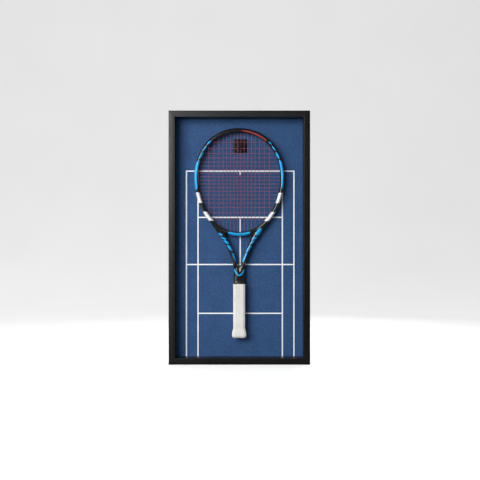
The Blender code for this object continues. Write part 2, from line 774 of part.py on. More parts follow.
def hoop_at(angle, outward=0.0):
    """Return the hoop's (x, height) at an angle from its top, moved outward from its middle line.

    The lower half is an ellipse, and the upper half a slightly squarer one.
    """
    upper = math.cos(angle) >= 0
    rise = HEAD_UPPER if upper else HEAD_LOWER
    power = HEAD_SQUARENESS if upper else 2
    x = signed_power(math.sin(angle), 2 / power)
    z = signed_power(math.cos(angle), 2 / power)
    normal = Vector((signed_power(x, power - 1) / HEAD_HALF_WIDTH,
                     signed_power(z, power - 1) / rise)).normalized()
    return (x * HEAD_HALF_WIDTH + normal.x * outward,
            HEAD_CENTRE + z * rise + normal.y * outward)


def hoop_middle(angle):
    """Return the world place of the hoop's middle line at an angle from its top."""
    x, height = hoop_at(angle)
    return racket_point(x, 0, height)


def hoop_crossing(place, axis, low, high, outward):
    """Find where the hoop, moved outward, has the given x (axis 0) or height (axis 1)."""
    rising = hoop_at(high, outward)[axis] > hoop_at(low, outward)[axis]
    for _ in range(40):
        middle = (low + high) / 2
        if (hoop_at(middle, outward)[axis] < place) == rising:
            low = middle
        else:
            high = middle
    return hoop_at((low + high) / 2, outward)


def main_offsets():
    """Return the main strings' distances from the axis, on one side."""
    offsets = [MAIN_STEPS[0]]
    for step in MAIN_STEPS[1:]:
        offsets.append(offsets[-1] + step)
    return offsets


def serpentine(runs):
    """Join straight runs into one path that turns back at the end of each run."""
    path = []
    for number, (start, end) in enumerate(runs):
        path += (start, end) if number % 2 == 0 else (end, start)
    return path


def string_paths():
    """Return the main and the cross string's paths.

    Each is one piece that turns back in the groove outside the hoop. Mains run in a plane
    just behind the racket's middle and crosses just in front of it.
    """
    quarter, half_turn = math.pi / 2, math.pi
    turn = BEAM_FACE / 2 - STRING_RADIUS - GAP
    mains = []
    offsets = main_offsets()
    for offset in [-value for value in reversed(offsets)] + offsets:
        low = hoop_crossing(abs(offset), 0, quarter, half_turn, turn)[1]
        high = hoop_crossing(abs(offset), 0, 0, quarter, turn)[1]
        mains.append([racket_point(offset, STRING_PLANE, z) for z in (low, high)])
    crosses = []
    for height in cross_heights():
        span = (0, quarter) if height > HEAD_CENTRE else (quarter, half_turn)
        x = hoop_crossing(height, 1, *span, turn)[0]
        crosses.append([racket_point(side * x, -STRING_PLANE, height) for side in (-1, 1)])
    return serpentine(mains), serpentine(crosses)


def make_strings(hoop, parent):
    """Make both strings and cut their holes and turning grooves in the hoop."""
    for name, path in zip(("main_string", "cross_string"), string_paths()):
        bm = bmesh.new()
        sweep(bm, path, circle(STRING_RADIUS, STRING_SIDES), (0, 1, 0))
        finish(name, bm, "red_string", parent.location, True, parent)
        path[0] += (path[0] - path[1]).normalized() * GAP
        path[-1] += (path[-1] - path[-2]).normalized() * GAP
        bm = bmesh.new()
        sweep(bm, path, circle(STRING_RADIUS + STRING_PLAY, STRING_SIDES), (0, 1, 0))
        boolean(hoop, cutter(f"{name}_holes", bm))


def arm_curve():
    """Return the middle line of the right-hand arm, a Bezier curve from the hoop to the shaft."""
    top = hoop_at(math.radians(ARM_ANGLE), ARM_OUTWARD)
    bend = (top[0] + ARM_LEAVE[0], top[1] + ARM_LEAVE[1])
    knots = (top, bend, (ARM_BEND_LOW[0], HEAD_FOOT + ARM_BEND_LOW[1]),
             (ARM_FOOT[0], HEAD_FOOT + ARM_FOOT[1]))
    points = []
    for i in range(ARM_STEPS + 1):
        t = i / ARM_STEPS
        weights = ((1 - t) ** 3, 3 * t * (1 - t) ** 2, 3 * t * t * (1 - t), t ** 3)
        points.append((sum(w * k[0] for w, k in zip(weights, knots)),
                       sum(w * k[1] for w, k in zip(weights, knots))))
    return points


def arm_widths():
    """Return how much the arm is widened at each point, where it passes the bridge."""
    widths = []
    for i in range(ARM_STEPS + 1):
        t = min(i / ARM_STEPS / ARM_SWELL_SHARE, 1)
        widths.append(1 + ARM_SWELL / ARM_FACE * math.sin(math.pi * t) ** 2)
    return widths


def ring_at(section, height):
    """Place a section across the racket's axis at a height."""
    return [racket_point(a, b, height) for a, b in section]


def make_racket_frame(parent):
    """Make the moulded frame: hoop, two arms, shaft and the tang inside the handle."""
    angles = [2 * math.pi * i / HOOP_STEPS for i in range(HOOP_STEPS)]
    path = [hoop_middle(angle) for angle in angles]
    bm = bmesh.new()
    sweep(bm, path, oval(BEAM_FACE / 2, BEAM_DEPTH / 2), (0, 1, 0), closed=True)
    hoop = finish("racket_frame", bm, "gloss_black_graphite", parent.location, True, parent)

    for side, label in ((-1, "left"), (1, "right")):
        arm = bmesh.new()
        line = [racket_point(side * x, 0, z) for x, z in arm_curve()]
        sweep(arm, line, oval(ARM_FACE / 2, ARM_DEPTH / 2), (0, 1, 0), widths=arm_widths())
        boolean(hoop, cutter(f"arm_{label}", arm), "UNION")

    half_width, half_depth = SHAFT_WIDTH / 2, SHAFT_DEPTH / 2
    low = GRIP_TOP + GAP
    spread = [(low, 1.0)] + [(NOTCH - down, wide) for down, wide in SHAFT_SHOULDERS]
    shaft = bmesh.new()
    loft(shaft, [ring_at(oval(half_width * wide, half_depth), z) for z, wide in spread])
    boolean(hoop, cutter("shaft", shaft), "UNION")
    tang = bmesh.new()
    section = octagon(TANG_WIDTH / 2, TANG_DEPTH / 2)
    loft(tang, [ring_at(section, z) for z in (TANG_END, low + COLLAR_HEIGHT)])
    boolean(hoop, cutter("tang", tang), "UNION")
    return hoop


def make_bumper_guard(parent):
    """Make the strip that wraps the outside of the head's top."""
    inside = oval(BEAM_FACE / 2 + GAP, BEAM_DEPTH / 2 + GAP)
    thick = GAP + GUARD_THICKNESS
    outside = oval(BEAM_FACE / 2 + thick, BEAM_DEPTH / 2 + thick)
    wrap = [i % BEAM_SIDES for i in range(-BEAM_SIDES // 6, BEAM_SIDES // 6 + 1)]
    section = [outside[i] for i in wrap] + [inside[i] for i in reversed(wrap)]
    step = 360 / HOOP_STEPS
    reach = int(GUARD_HALF_ANGLE / step)
    angles = [math.radians(step * i) for i in range(-reach, reach + 1)]
    path = [hoop_middle(angle) for angle in angles]
    bm = bmesh.new()
    sweep(bm, path, section, (0, 1, 0))
    finish("bumper_guard", bm, "black_plastic", parent.location, True, parent)


def flare(height):
    """Return how far the butt's flare has grown at a height, from 0 to 1."""
    t = min(max((FLARE_HIGH - height) / (FLARE_HIGH - FLARE_LOW), 0), 1)
    return t * t * (3 - 2 * t)


def handle_ring(height, inset=0.0):
    """Place the grip's outer section at a height, drawn in by an inset."""
    half_width = (GRIP_WIDTH + FLARE_WIDTH * flare(height)) / 2 - inset
    half_depth = (GRIP_DEPTH + FLARE_DEPTH * flare(height)) / 2 - inset
    return ring_at(octagon(half_width, half_depth), height)


def make_handle(parent):
    """Make the pallet, butt cap, grip and collar."""
    steps = FLARE_STEPS
    cap_inset = GRIP_THICKNESS + GAP
    pallet = octagon(GRIP_WIDTH / 2 - cap_inset, GRIP_DEPTH / 2 - cap_inset)
    around = octagon(GRIP_WIDTH / 2 - GRIP_THICKNESS, GRIP_DEPTH / 2 - GRIP_THICKNESS)
    tang = octagon(TANG_WIDTH / 2 + GAP, TANG_DEPTH / 2 + GAP)
    top, foot = GRIP_TOP - GAP, CAP_FLOOR + GAP

    bm = bmesh.new()
    loft(bm, [ring_at(pallet, foot), ring_at(pallet, top), ring_at(tang, top),
              ring_at(tang, foot)], closed=True)
    finish("handle_pallet", bm, "foam_core", parent.location, False, parent)

    heights = [CAP_EDGE + (CAP_HEIGHT - CAP_EDGE) * i / steps for i in range(steps + 1)]
    bm = bmesh.new()
    loft(bm, [handle_ring(0, 2 * cap_inset), handle_ring(CAP_EDGE / 3, cap_inset + GAP)]
         + [handle_ring(z, cap_inset) for z in heights]
         + [ring_at(around, CAP_HEIGHT), ring_at(around, CAP_FLOOR)])
    finish("butt_cap", bm, "white_plastic", parent.location, False, parent)

    ledge = CAP_HEIGHT + GAP
    outer = [CAP_EDGE, FLARE_LOW] + [FLARE_LOW + (FLARE_HIGH - FLARE_LOW) * i / steps
                                     for i in range(1, steps + 1)] + [GRIP_TOP]
    inner = [ledge] + [ledge + (CAP_EDGE - ledge) * i / steps for i in range(1, steps + 1)]
    bm = bmesh.new()
    loft(bm, [handle_ring(z) for z in outer] + [ring_at(around, GRIP_TOP), ring_at(around, ledge)]
         + [handle_ring(z, GRIP_THICKNESS) for z in inner], closed=True)
    finish("grip_wrap", bm, "white_grip", parent.location, False, parent)

    low, high = GRIP_TOP + GAP, GRIP_TOP + GAP + COLLAR_HEIGHT
    shaft = oval(SHAFT_WIDTH / 2 + GAP, SHAFT_DEPTH / 2 + GAP)
    thick = GAP + COLLAR_THICKNESS
    band = oval(SHAFT_WIDTH / 2 + thick, SHAFT_DEPTH / 2 + thick)
    bm = bmesh.new()
    loft(bm, [ring_at(band, low), ring_at(band, high), ring_at(shaft, high),
              ring_at(shaft, low)], closed=True)
    finish("grip_collar", bm, "black_rubber", parent.location, True, parent)


def make_racket():
    """Make the racket's pieces, all carried by an empty at the hook."""
    hold = bpy.data.objects.new("racket_on_hook", None)
    hold.location = hook_point()
    bpy.context.scene.collection.objects.link(hold)
    hoop = make_racket_frame(hold)
    make_strings(hoop, hold)
    make_bumper_guard(hold)
    make_handle(hold)


def main():
    """Build the whole display."""
    clear_scene()
    rails = make_rails()
    make_corner_nails(rails)
    print_sheet = slab("court_print", PRINT_FRONT, PRINT_THICKNESS, "blue_card")
    board = slab("backing_board", BOARD_FRONT, BOARD_THICKNESS, "grey_board")
    slab("back_panel", PANEL_FRONT, PANEL_THICKNESS, "brown_hardboard")
    make_court_lines()
    make_turn_buttons()
    make_hangers()
    make_back_screws(rails)
    make_bumpers()
    make_mount((print_sheet, board))
    make_hook()
    make_racket()


main()
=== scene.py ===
"""Racket display frame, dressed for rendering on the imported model's frame.

Metres, +Z up, the open front faces -Y. Racket places are counted from its axis and butt end.
"""
from math import atan2, copysign, cos, degrees, pi, radians, sin, sqrt, tan

import bmesh
import bpy
import numpy as np
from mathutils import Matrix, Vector

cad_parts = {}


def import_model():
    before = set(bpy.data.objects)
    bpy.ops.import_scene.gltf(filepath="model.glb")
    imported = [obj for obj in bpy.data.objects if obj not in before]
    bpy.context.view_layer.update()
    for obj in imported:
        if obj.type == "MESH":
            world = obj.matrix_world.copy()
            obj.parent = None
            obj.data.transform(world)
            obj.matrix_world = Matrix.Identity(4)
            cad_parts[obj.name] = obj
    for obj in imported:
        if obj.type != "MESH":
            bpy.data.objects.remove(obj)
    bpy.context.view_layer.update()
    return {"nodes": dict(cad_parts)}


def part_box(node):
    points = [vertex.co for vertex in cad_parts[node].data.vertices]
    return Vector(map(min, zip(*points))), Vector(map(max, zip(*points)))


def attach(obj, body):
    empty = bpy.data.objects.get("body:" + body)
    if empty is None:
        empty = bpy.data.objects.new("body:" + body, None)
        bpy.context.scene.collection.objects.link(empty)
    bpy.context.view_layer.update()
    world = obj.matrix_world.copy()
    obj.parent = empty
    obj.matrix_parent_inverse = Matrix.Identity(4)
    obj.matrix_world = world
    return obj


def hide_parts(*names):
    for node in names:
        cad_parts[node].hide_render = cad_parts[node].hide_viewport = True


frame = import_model()
MM = 0.001
SIDES = ((-1, "left"), (1, "right"))

# Frame moulding, as in the solids
FRAME_WIDTH, FRAME_HEIGHT = 0.458, 0.822
FRAME_FACE, FRAME_LIP = 0.021, 0.006
STILE_LOW, STILE_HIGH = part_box("frame_left_stile")
FRONT_Y, FRAME_DEPTH = STILE_LOW.y, STILE_HIGH.y - STILE_LOW.y
RECESS_DEPTH = 0.050
GAP = 0.0003

# Racket, as in the solids
RACKET_LOW, RACKET_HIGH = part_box("racket_frame")
RACKET_X = (RACKET_LOW.x + RACKET_HIGH.x) / 2
RACKET_Y = (RACKET_LOW.y + RACKET_HIGH.y) / 2
BUTT_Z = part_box("butt_cap")[0].z
HEAD_CENTRE, HEAD_HALF_WIDTH, HEAD_UPPER, HEAD_LOWER = 0.5255, 0.1404, 0.1525, 0.186
HEAD_SQUARENESS = 2.08
BEAM_HALF, BEAM_HALF_DEPTH = 0.0065, 0.012
ARM_ANGLE, ARM_OUTWARD = 139.5, 0.0017
ARM_LEAVE, ARM_BEND, ARM_FOOT = (-0.0455, -0.0390), (0.0150, 0.2665), (0.0085, 0.2150)
ARM_FACE, ARM_SWELL, ARM_HALF_DEPTH = 0.0136, 0.0064, 0.0113
NOTCH = 0.2390
GRIP_TOP = 0.177
SHAFT_HALF, SHAFT_HALF_DEPTH = 0.0176, 0.0124
STRING_RADIUS, STRING_PLANE = 0.00065, 0.0008
MAIN_STEPS = (5.8, 10.8, 11.8, 12.0, 12.1, 14.0, 15.7, 17.0)
CROSS_STEPS = (20.4, 16.0, 14.7, 13.5, 13.1, 11.6, 11.6, 11.8, 11.8, 11.8, 11.8, 11.8, 12.4,
               13.0, 13.4, 14.2, 17.0, 19.6)
FIRST_CROSS = 0.6395

# Main strings' x from left to right, and cross strings' heights from the top down
RIGHT_MAINS = [sum(MAIN_STEPS[:k + 1]) * MM for k in range(len(MAIN_STEPS))]
MAINS = [-x for x in reversed(RIGHT_MAINS)] + RIGHT_MAINS
CROSSES = [FIRST_CROSS - sum(CROSS_STEPS[:k]) * MM for k in range(len(CROSS_STEPS) + 1)]


# Materials

def linear(red, green, blue):
    """Turn 0 to 255 display values into the linear colour that a shader takes."""
    values = [v / 255 for v in (red, green, blue)]
    return tuple(v / 12.92 if v <= 0.04045 else ((v + 0.055) / 1.055) ** 2.4 for v in values)


def scaled(colour, share):
    """Return a colour made darker or lighter."""
    return tuple(v * share for v in colour)


class Graph:
    """The nodes of a material or of the world, with short ways to add to them."""

    def __init__(self, owner, shader, **sockets):
        owner.use_nodes = True
        self.owner = owner
        self.tree = owner.node_tree
        self.shader = self.tree.nodes[shader]
        self.wear(**sockets)

    def put(self, node, key, value):
        """Set an input by its name or number, or link another node's output to it."""
        if isinstance(value, bpy.types.NodeSocket):
            self.tree.links.new(value, node.inputs[key])
        else:
            node.inputs[key].default_value = value

    def wear(self, **sockets):
        """Set or link the shader's inputs, with _ for a space, and return the owner."""
        for key, value in sockets.items():
            self.put(self.shader, key.replace("_", " "), value)
        return self.owner

    def add(self, kind, values=(), **settings):
        """Add a node with its settings, then fill its inputs."""
        made = self.tree.nodes.new("ShaderNode" + kind)
        for key, value in settings.items():
            setattr(made, key, value)
        for key, value in dict(values).items():
            self.put(made, key, value)
        return made

    def place(self, stretch=(1, 1, 1)):
        """Return the object's own coordinates, stretched."""
        source = self.add("TexCoord").outputs["Object"]
        return self.add("Mapping", {"Vector": source, "Scale": stretch}).outputs[0]

    def noise(self, scale, detail=3.0, stretch=(1, 1, 1), distortion=0.0):
        """Return noise between about 0.3 and 0.7, of that many waves per metre."""
        return self.add("TexNoise", {"Vector": self.place(stretch), "Scale": scale,
                                     "Detail": detail, "Distortion": distortion}).outputs[0]

    def spread(self, value, low, high, start=0.3, end=0.7):
        """Map a value from one range to another."""
        return self.add("MapRange", {"Value": value, "From Min": start, "From Max": end,
                                     "To Min": low, "To Max": high}).outputs[0]

    def total(self, *parts):
        """Add up two values, each mapped as by spread."""
        return self.math("ADD", *(self.spread(*part) for part in parts))

    def math(self, operation, *values):
        """Add one Math node."""
        return self.add("Math", enumerate(values), operation=operation).outputs[0]

    def mix(self, factor, *colours):
        """Mix two colours."""
        first, second = ((*c, 1.0) if isinstance(c, tuple) else c for c in colours)
        return self.add("Mix", {0: factor, 6: first, 7: second}, data_type="RGBA").outputs[2]

    def shade(self, noise, share, *colours):
        """Mix up to a share of the second colour into the first, by a noise."""
        return self.mix(self.spread(noise, 0.0, share), *colours)

    def bump(self, height, distance, strength, under=None):
        """Raise the surface by a height map, over another bump if given."""
        values = {"Height": height, "Distance": distance, "Strength": strength}
        if under is not None:
            values["Normal"] = under
        return self.add("Bump", values).outputs[0]


def surface(name, colour, roughness, **sockets):
    """Start a material."""
    return Graph(bpy.data.materials.new(name), "Principled BSDF", Base_Color=(*colour, 1.0),
                 Roughness=roughness, **sockets)


def black_wood(name, stretch):
    """Satin black stained hardwood, its grain along the axis with the small stretch."""
    dark, light = linear(8, 8, 9), linear(20, 19, 19)
    g = surface(name, dark, 0.38, Specular_IOR_Level=0.3)
    fibre = g.noise(900, 4.0, stretch, 0.4)
    cloud = g.noise(14, 2.0)
    return g.wear(Base_Color=g.shade(fibre, 0.55, g.shade(cloud, 0.35, dark, light), light),
                  Roughness=g.total((fibre, 0.31, 0.42), (cloud, -0.03, 0.03)),
                  Normal=g.bump(fibre, 0.00006, 0.6))


def court_card(name):
    """Blue card with a fine felt-like mottle."""
    g = surface(name, linear(64, 98, 143), 0.82)
    mottle = g.noise(390, 3.0)
    patch = g.noise(26, 3.0)
    fine = g.noise(2600, 2.0)
    light = g.total((mottle, 0.0, 0.85, 0.33, 0.67), (patch, 0.0, 0.15))
    return g.wear(Base_Color=g.mix(light, linear(14, 47, 90), linear(50, 92, 142)),
                  Roughness=g.spread(fine, 0.74, 0.9),
                  Normal=g.bump(fine, 0.00008, 0.5, g.bump(mottle, 0.0003, 0.4)))


def white_ink(name):
    """Screen-printed white, a little uneven."""
    g = surface(name, linear(240, 242, 246), 0.7)
    fleck = g.noise(700, 3.0)
    return g.wear(Base_Color=g.shade(fleck, 1, linear(232, 235, 241), linear(245, 247, 250)),
                  Roughness=g.spread(fleck, 0.6, 0.8),
                  Normal=g.bump(fleck, 0.00005, 0.5))


def zinc(name, metallic=1.0, tint=(158, 160, 165)):
    """Zinc-plated pressed steel with a faint spangle and fine scratches."""
    base = linear(*tint)
    g = surface(name, base, 0.36, Metallic=metallic)
    spangle = g.noise(420, 2.0, distortion=0.8)
    scratch = g.noise(2200, 2.0, (1, 1, 0.06))
    return g.wear(Base_Color=g.shade(spangle, 1, scaled(base, 0.72), base),
                  Roughness=g.total((spangle, 0.27, 0.42), (scratch, -0.03, 0.04)),
                  Normal=g.bump(scratch, 0.00002, 0.5))


def hardboard(name):
    """Brown hardboard, its woven screen marks outward."""
    g = surface(name, linear(128, 92, 62), 0.8)
    fibre = g.noise(520, 5.0, distortion=0.5)
    patch = g.noise(30, 2.0)
    waves = [g.add("TexWave", {"Vector": g.place(), "Scale": 190.0, "Distortion": 0.4},
                   bands_direction=axis).outputs[0] for axis in "XZ"]
    screen = g.math("MULTIPLY", *waves)
    tone = g.mix(g.total((fibre, 0.0, 0.75), (patch, 0.0, 0.25)), linear(108, 75, 49),
                 linear(142, 105, 73))
    return g.wear(Base_Color=g.mix(g.spread(screen, 0.0, 0.3, 0.0, 1.0), tone, linear(84, 58, 38)),
                  Roughness=g.spread(fibre, 0.68, 0.88),
                  Normal=g.bump(screen, 0.0002, 0.6, g.bump(fibre, 0.0002, 0.4)))


def fibre_board(name):
    """Grey-brown fibreboard."""
    g = surface(name, linear(158, 148, 134), 0.9)
    fibre = g.noise(300, 5.0, (1, 0.4, 1), 1.0)
    return g.wear(Base_Color=g.shade(fibre, 1, linear(140, 130, 116), linear(172, 163, 150)),
                  Roughness=g.spread(fibre, 0.8, 0.95),
                  Normal=g.bump(fibre, 0.0002, 0.5))


def moulded(name, tint, rough, grain=1500, depth=0.00003, **sockets):
    """Moulded plastic or rubber with a fine spark-eroded grain."""
    base = linear(*tint)
    g = surface(name, base, rough, **sockets)
    texture = g.noise(grain, 2.0)
    cloud = g.noise(60, 2.0)
    lighter = tuple(min(v * 1.25 + 0.004, 1.0) for v in base)
    return g.wear(Base_Color=g.shade(cloud, 0.8, base, lighter),
                  Roughness=g.total((texture, rough - 0.07, rough + 0.07), (cloud, -0.03, 0.03)),
                  Normal=g.bump(texture, depth, 0.7))


def lacquer(name):
    """Gloss black racket lacquer with painted bands, from the edge distances on the mesh."""
    black, blue = linear(7, 7, 7), linear(14, 168, 234)
    white, red = linear(250, 250, 250), linear(160, 58, 58)
    g = surface(name, black, 0.33, Specular_IOR_Level=0.3, Coat_Weight=0.8, Coat_Roughness=0.07)
    fleck = g.noise(1800, 2.0)
    cloud = g.noise(45, 3.0)
    tone = g.shade(cloud, 0.6, black, linear(13, 13, 12))
    for key, colour, darker, inset in (("blue", blue, 0.92, 0.75), ("chevron", blue, 0.94, 0.0),
                                       ("white", white, 0.97, 0.0), ("red", red, 0.85, 0.0)):
        edge = g.add("Attribute", attribute_name=f"{key}_edge").outputs["Fac"]
        inside = g.spread(edge, 0.0, 1.0, inset - 0.12, inset + 0.12)
        tone = g.mix(inside, tone, g.shade(cloud, 0.8, scaled(colour, darker), colour))
    return g.wear(Base_Color=tone,
                  Roughness=g.total((fleck, 0.27, 0.37), (cloud, -0.02, 0.05)),
                  Normal=g.bump(fleck, 0.00001, 0.3, g.bump(cloud, 0.0001, 0.12)))


def monofilament(name, tint):
    """Red string with a little unevenness along it."""
    base = linear(*tint)
    g = surface(name, base, 0.34)
    streak = g.noise(900, 2.0)
    return g.wear(Base_Color=g.shade(streak, 1, scaled(base, 0.85), scaled(base, 1.15)),
                  Roughness=g.spread(streak, 0.26, 0.42),
                  Normal=g.bump(streak, 0.00002, 0.4))


def grip_leather(name):
    """Soft white grip wrap: fine pores, a dull sheen and a little handling grey."""
    g = surface(name, linear(233, 232, 229), 0.58, Sheen_Weight=0.15, Sheen_Roughness=0.5)
    pores = g.add("TexVoronoi", {"Vector": g.place(), "Scale": 900.0}).outputs["Distance"]
    crease = g.noise(420, 4.0, (1, 1, 2.2), 0.6)
    cloud = g.noise(34, 3.0)
    tone = g.shade(cloud, 1, linear(216, 215, 211), linear(231, 230, 227))
    return g.wear(Base_Color=g.shade(crease, 0.25, tone, linear(204, 203, 199)),
                  Roughness=g.spread(crease, 0.5, 0.68),
                  Normal=g.bump(pores, 0.00008, 0.5, g.bump(crease, 0.0002, 0.35)))


MATERIALS = {
    "wood_x": black_wood("black_wood_level", (0.035, 1, 1)),
    "wood_z": black_wood("black_wood_upright", (1, 1, 0.035)),
    "card": court_card("court_card"),
    "ink": white_ink("court_ink"),
    "zinc": zinc("zinc_plate"),
    "hook_steel": zinc("black_hook_steel", 0.7, (62, 66, 74)),
    "hardboard": hardboard("brown_hardboard_screen"),
    "board": fibre_board("grey_fibreboard"),
    "plate": moulded("mount_nylon", (5, 4, 4), 0.55, Specular_IOR_Level=0.15),
    "guard": moulded("guard_nylon", (13, 13, 14), 0.42, 1100),
    "rubber": moulded("bumper_rubber", (18, 18, 18), 0.75, 900, 0.00006),
    "lacquer": lacquer("racket_lacquer"),
    "main_string": monofilament("main_monofilament", (132, 68, 88)),
    "cross_string": monofilament("cross_monofilament", (146, 66, 78)),
    "collar": moulded("collar_rubber", (13, 13, 13), 0.3, 1300, 0.00001),
    "grip": grip_leather("white_grip_wrap"),
    "cap": moulded("white_cap_nylon", (226, 226, 223), 0.4),
    "foam": moulded("handle_foam", (186, 180, 168), 0.85, 500, 0.0002),
}


# Mesh helpers

def mm(*values):
    """Turn millimetres into metres."""
    return [v * MM for v in values]


def circle(radius, sides):
    """Return a circle's points."""
    turns = [2 * pi * i / sides for i in range(sides)]
    return [(radius * cos(turn), radius * sin(turn)) for turn in turns]


def arc(centre, radius, start, end, steps):
    """Return an arc's points, angles in degrees."""
    turns = [radians(start + (end - start) * i / steps) for i in range(steps + 1)]
    return [(centre[0] + radius * cos(turn), centre[1] + radius * sin(turn)) for turn in turns]


def signed_power(value, power):
    """Raise a value's size to a power and keep its sign."""
    return copysign(abs(value) ** power, value)


class Shape:
    """Vertices and faces of one piece in the making."""

    def __init__(self):
        self.verts = []
        self.faces = []

    def add(self, points):
        """Add points and return their numbers."""
        start = len(self.verts)
        self.verts += [tuple(p) for p in points]
        return list(range(start, len(self.verts)))

    def join(self, low, high, around=True):
        """Join two rows of points with quads."""
        count = len(low)
        for i in range(count if around else count - 1):
            j = (i + 1) % count
            self.faces.append((low[i], low[j], high[j], high[i]))

    def skin(self, rings, around=True, closed=False):
        """Join rows of points, and cap both ends unless it is a sheet or closes on itself."""
        rows = [self.add(ring) for ring in rings]
        for low, high in zip(rows, rows[1:]):
            self.join(low, high, around)
        if closed:
            self.join(rows[-1], rows[0])
        elif around:
            self.faces += [tuple(reversed(rows[0])), tuple(rows[-1])]
        return self

    def tube(self, path, section, closed=False, up=Vector((0, 1, 0)), widths=None, heights=None):
        """Sweep a section along a path; its first value points sideways, its second along up.

        widths scale the second value at each point of the path, and heights the first.
        """
        count = len(path)
        rings = []
        for i, point in enumerate(path):
            before = path[i - 1] if closed or i else point
            after = path[(i + 1) % count] if closed or i < count - 1 else point
            ahead = (after - before).normalized()
            side = ahead.cross(up).normalized()
            top = side.cross(ahead).normalized()
            wide = widths[i] if widths else 1.0
            tall = heights[i] if heights else 1.0
            rings.append([point + side * (a * tall) + top * (b * wide) for a, b in section])
        return self.skin(rings, closed=closed)

    def lathe(self, centre, axis, profile, sides=32, unit=MM):
        """Turn a profile of (along, radius), in mm by default; a radius of 0 closes an end."""
        axis = Vector(axis).normalized()
        side = axis.orthogonal().normalized()
        other = axis.cross(side)
        rings = []
        for along, radius in profile:
            middle = Vector(centre) + axis * (along * unit)
            rings.append([middle + side * a + other * b
                          for a, b in circle(max(radius * unit, 1e-6), sides)])
        return self.skin(rings)


def place(name, data, where=(0, 0, 0), turned=(0, 0, 0)):
    """Put an object into the scene."""
    piece = bpy.data.objects.new(name, data)
    piece.location = where
    piece.rotation_euler = turned
    bpy.context.scene.collection.objects.link(piece)
    return piece


def shade_smooth(mesh, angle):
    """Shade a mesh smooth, with sharp edges above an angle."""
    mesh.shade_smooth()
    mesh.set_sharp_from_angle(angle=radians(angle))


def make(name, shape, material, body=None, replaced=(), smooth=40):
    """Make a piece of a shape, ride it on its body and let it stand for CAD nodes."""
    mesh = bpy.data.meshes.new(name)
    mesh.from_pydata(shape.verts, [], shape.faces)
    mesh.validate()
    bm = bmesh.new()
    bm.from_mesh(mesh)
    bmesh.ops.recalc_face_normals(bm, faces=bm.faces)
    bm.to_mesh(mesh)
    bm.free()
    piece = place(name, mesh)
    mesh.materials.append(MATERIALS[material])
    if smooth:
        shade_smooth(mesh, smooth)
    if body:
        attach(piece, body)
    if replaced:
        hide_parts(*replaced)
    return piece


def apply_modifiers(piece):
    """Replace a piece's mesh by what its modifiers make of it."""
    graph = bpy.context.evaluated_depsgraph_get()
    made = bpy.data.meshes.new_from_object(piece.evaluated_get(graph))
    piece.modifiers.clear()
    old = piece.data
    name = old.name
    piece.data = made
    bpy.data.meshes.remove(old)
    made.name = name


def carve(piece, shape, smooth):
    """Cut a shape out of a piece."""
    tool = make("cutter", shape, "zinc", smooth=0)
    modifier = piece.modifiers.new("cut", "BOOLEAN")
    modifier.object = tool
    modifier.operation = "DIFFERENCE"
    modifier.solver = "EXACT"
    apply_modifiers(piece)
    mesh = tool.data
    bpy.data.objects.remove(tool)
    bpy.data.meshes.remove(mesh)
    shade_smooth(piece.data, smooth)


def read_points(mesh):
    """Return a mesh's coordinates as one row of numbers."""
    values = np.empty(len(mesh.vertices) * 3)
    mesh.vertices.foreach_get("co", values)
    return values


# Camera, light and stage

def paper(name, shape, emission):
    """Make a stage piece of pale paper that glows a little and is seen by the camera alone."""
    piece = make(name, shape, "cap", smooth=80)
    g = surface(f"{name}_paper", linear(222, 222, 222), 0.9, Emission_Strength=emission,
                Emission_Color=(1.0, 1.0, 1.0, 1.0))
    pale, paler = linear(220, 220, 220), linear(225, 225, 225)
    piece.data.materials[0] = g.wear(Base_Color=g.shade(g.noise(3, 2.0), 1, pale, paler))
    piece.visible_diffuse = False
    piece.visible_glossy = False
    return piece


def make_backdrop():
    """Pale floor that turns up into a far wall, and pale walls all round."""
    width, near, far, rise, radius = 9.0, -7.0, 3.4, 6.0, 1.2
    bend = arc((0, 0), radius, -90, 0, 16)
    profile = [(near, 0.0)] + [(far - radius + y, radius + z) for y, z in bend] + [(far, rise)]
    sweep = [[(x, y, z) for y, z in profile] for x in (-width, width)]
    paper("studio_sweep", Shape().skin(sweep, around=False), 0.46)
    walls = [(0.0, 0.1)] + [(2.0 + 2 * z / radius, 10.0 + 2 * y / radius) for y, z in bend]
    dome = Shape().lathe((0, 0, -0.004), (0, 0, 1), walls + [(14.0, 12.0)], 64, unit=1.0)
    paper("studio_walls", dome, 0.72).visible_shadow = False


def add_light(name, where, target, energy, **settings):
    """Put an area light somewhere, facing a target and hidden from the camera."""
    light = bpy.data.lights.new(name, "AREA")
    light.energy = energy
    for key, value in settings.items():
        setattr(light, key, value)
    facing = (Vector(target) - Vector(where)).to_track_quat("-Z", "Y").to_euler()
    place(name, light, where, facing).visible_camera = False


def make_lights():
    """A key light from the upper left, a low fill from the left, and a light behind."""
    add_light("key", (-1.42, -2.45, 1.30), (0.0, 0.0, 0.45), 89.0,
              shape="RECTANGLE", size=1.9, size_y=1.4)
    add_light("low_fill", (-1.25, -1.5, 0.12), (-0.05, 0.0, 0.12), 4.5,
              shape="RECTANGLE", size=0.9, size_y=0.5)
    add_light("rear", (0.9, 2.3, 1.5), (0.0, 0.0, 0.45), 13.0, size=0.9, spread=radians(80))


def make_world():
    """White light from all round, dim from the front and stronger from the sides and back."""
    g = Graph(bpy.data.worlds.new("studio"), "Background", Color=(1.0, 1.0, 1.0, 1.0))
    source = g.add("TexCoord").outputs["Generated"]
    depth = g.add("SeparateXYZ", {0: source}).outputs["Y"]
    light = g.total((depth, 0.07, 0.44, -1.0, -0.2), (depth, 0.0, 0.3, 0.1, 0.5))
    bpy.context.scene.world = g.wear(Strength=light)


